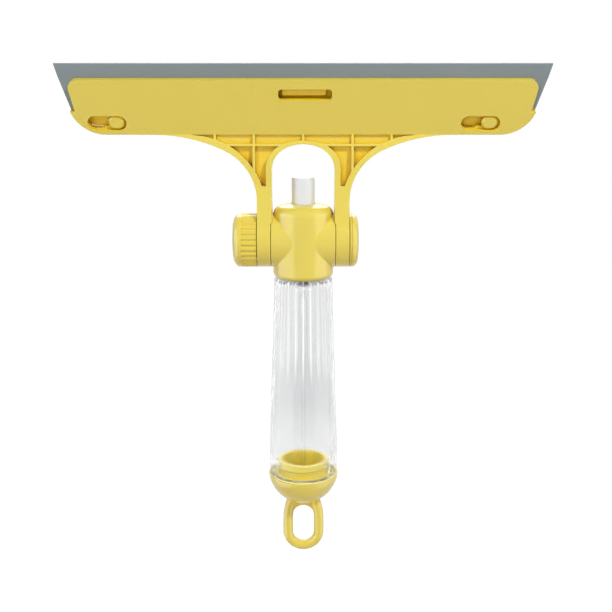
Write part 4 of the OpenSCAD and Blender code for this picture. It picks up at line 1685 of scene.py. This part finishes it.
@dataclass(frozen=True)
class Studio:
    """A pale floor, a white tent with soft lights, and the camera.

    The tent and the floor are brighter where they are seen, mirrored or seen through clear plastic than where
    they light the object. The floor lies below the reach of the unscrewed cap.
    """

    seen: float = 1.0
    through: float = 1.0
    mirrored: float = 1.0
    ambient: float = 0.3
    drop: float = 7.5 * MM
    floor_reach: float = 6.0
    paper: Colour = (0.62, 0.55, 0.44)
    paper_seen: Colour = (0.85, 0.85, 0.85)
    paper_light: float = 1.12
    paper_share: float = 0.86
    lens: float = 56.47
    camera_at: tuple[float, float, float] = (1.46 * MM, -507.6 * MM, 202.8 * MM)
    pitch_deg: float = 12.7
    lamps: tuple[Lamp, ...] = (
        Lamp("key", Vector((0.5, -0.75, 0.95)), 0.16, 0.16, 8.2),
        Lamp("fill", around(-22, 1.3, 0.3), 0.6, 0.6, 4.6),
        Lamp("back", Vector((0.0, 0.8, 0.7)), 0.8, 0.5, 4.6, mirrored=True),
        Lamp("gloss_left", around(-72, 0.9, 0.0), 1.3, 1.7, 19.0, mirrored=True, lights=False),
        Lamp("gloss_right", around(72, 0.9, 0.0), 1.0, 1.7, 9.0, mirrored=True, lights=False),
    )

    def world(self) -> None:
        """A tent of even light, whiter where it is seen directly."""
        world = bpy.data.worlds.new("tent")
        bpy.context.scene.world = world
        tree = Tree(world)
        path = tree.node("ShaderNodeLightPath")
        camera, glossy, through = (Signal(tree, path.outputs[name]) for name in DIRECT_RAYS)
        strength = (
            self.ambient
            + camera * (self.seen - self.ambient)
            + glossy * (self.mirrored - self.ambient)
            + through * (self.through - self.ambient)
        )
        sky = tree.node("ShaderNodeBackground", inputs={"Color": WHITE_LIGHT, "Strength": strength})
        tree.node("ShaderNodeOutputWorld", inputs={"Surface": sky.outputs[0]})

    def floor(self, height: float) -> None:
        """A wide pale floor that takes a soft shadow.

        Args:
            height: where it lies.
        """
        reach = self.floor_reach
        plan = ((-reach, -reach), (reach, -reach), (reach, reach), (-reach, reach))
        floor = new_piece("floor", [(x, y, height) for x, y in plan], [(0, 1, 2, 3)])
        paper = bpy.data.materials.new("floor_paper")
        tree = Tree(paper)
        path = tree.node("ShaderNodeLightPath")
        camera, glossy, through = (Signal(tree, path.outputs[name]) for name in DIRECT_RAYS)
        white = tree.node("ShaderNodeEmission", inputs={"Color": WHITE_LIGHT, "Strength": self.paper_light})
        shades = {0: camera, 6: self.paper, 7: self.paper_seen}
        tone = tree.node("ShaderNodeMix", {"data_type": "RGBA"}, shades)
        matt = tree.node("ShaderNodeBsdfDiffuse", inputs={"Color": tone.outputs[2]})
        share = (camera + glossy + through) * self.paper_share
        mixed = tree.node("ShaderNodeMixShader", inputs={0: share, 1: matt.outputs[0], 2: white.outputs[0]})
        tree.node("ShaderNodeOutputMaterial", inputs={"Surface": mixed.outputs[0]})
        floor.data.materials.append(paper)
        floor.visible_glossy = False
        floor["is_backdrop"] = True

    def camera(self) -> None:
        """The camera, which looks slightly down."""
        data = bpy.data.cameras.new("camera")
        data.lens = self.lens
        data.sensor_width = 36.0
        data.clip_start, data.clip_end = 0.01, 50.0
        camera = bpy.data.objects.new("camera", data)
        camera.location = self.camera_at
        camera.rotation_euler = (math.radians(90 - self.pitch_deg), 0.0, 0.0)
        bpy.context.scene.collection.objects.link(camera)
        bpy.context.scene.camera = camera

    def build(self, low: Vector, high: Vector) -> None:
        """Sets up the studio.

        Args:
            low: the object's lowest corner.
            high: its highest corner.
        """
        bpy.context.scene.view_settings.view_transform = "Standard"
        self.world()
        self.floor(low.z - self.drop)
        self.camera()
        for lamp in self.lamps:
            lamp.build((low + high) / 2)


def main() -> None:
    """Builds the studio, then each sub-assembly in turn."""
    logging.basicConfig(level=logging.INFO, format="%(message)s")
    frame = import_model()
    cad_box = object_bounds()
    bench = Bench(frame["nodes"], Paint())
    Studio().build(*cad_box)
    for part in (Head(), WashingPad(), Pivot(), Pump(), Bottle(), BaseCap()):
        part.build(bench)
        LOG.info("%s done", type(part).__name__)


if __name__ == "__main__":
    main()
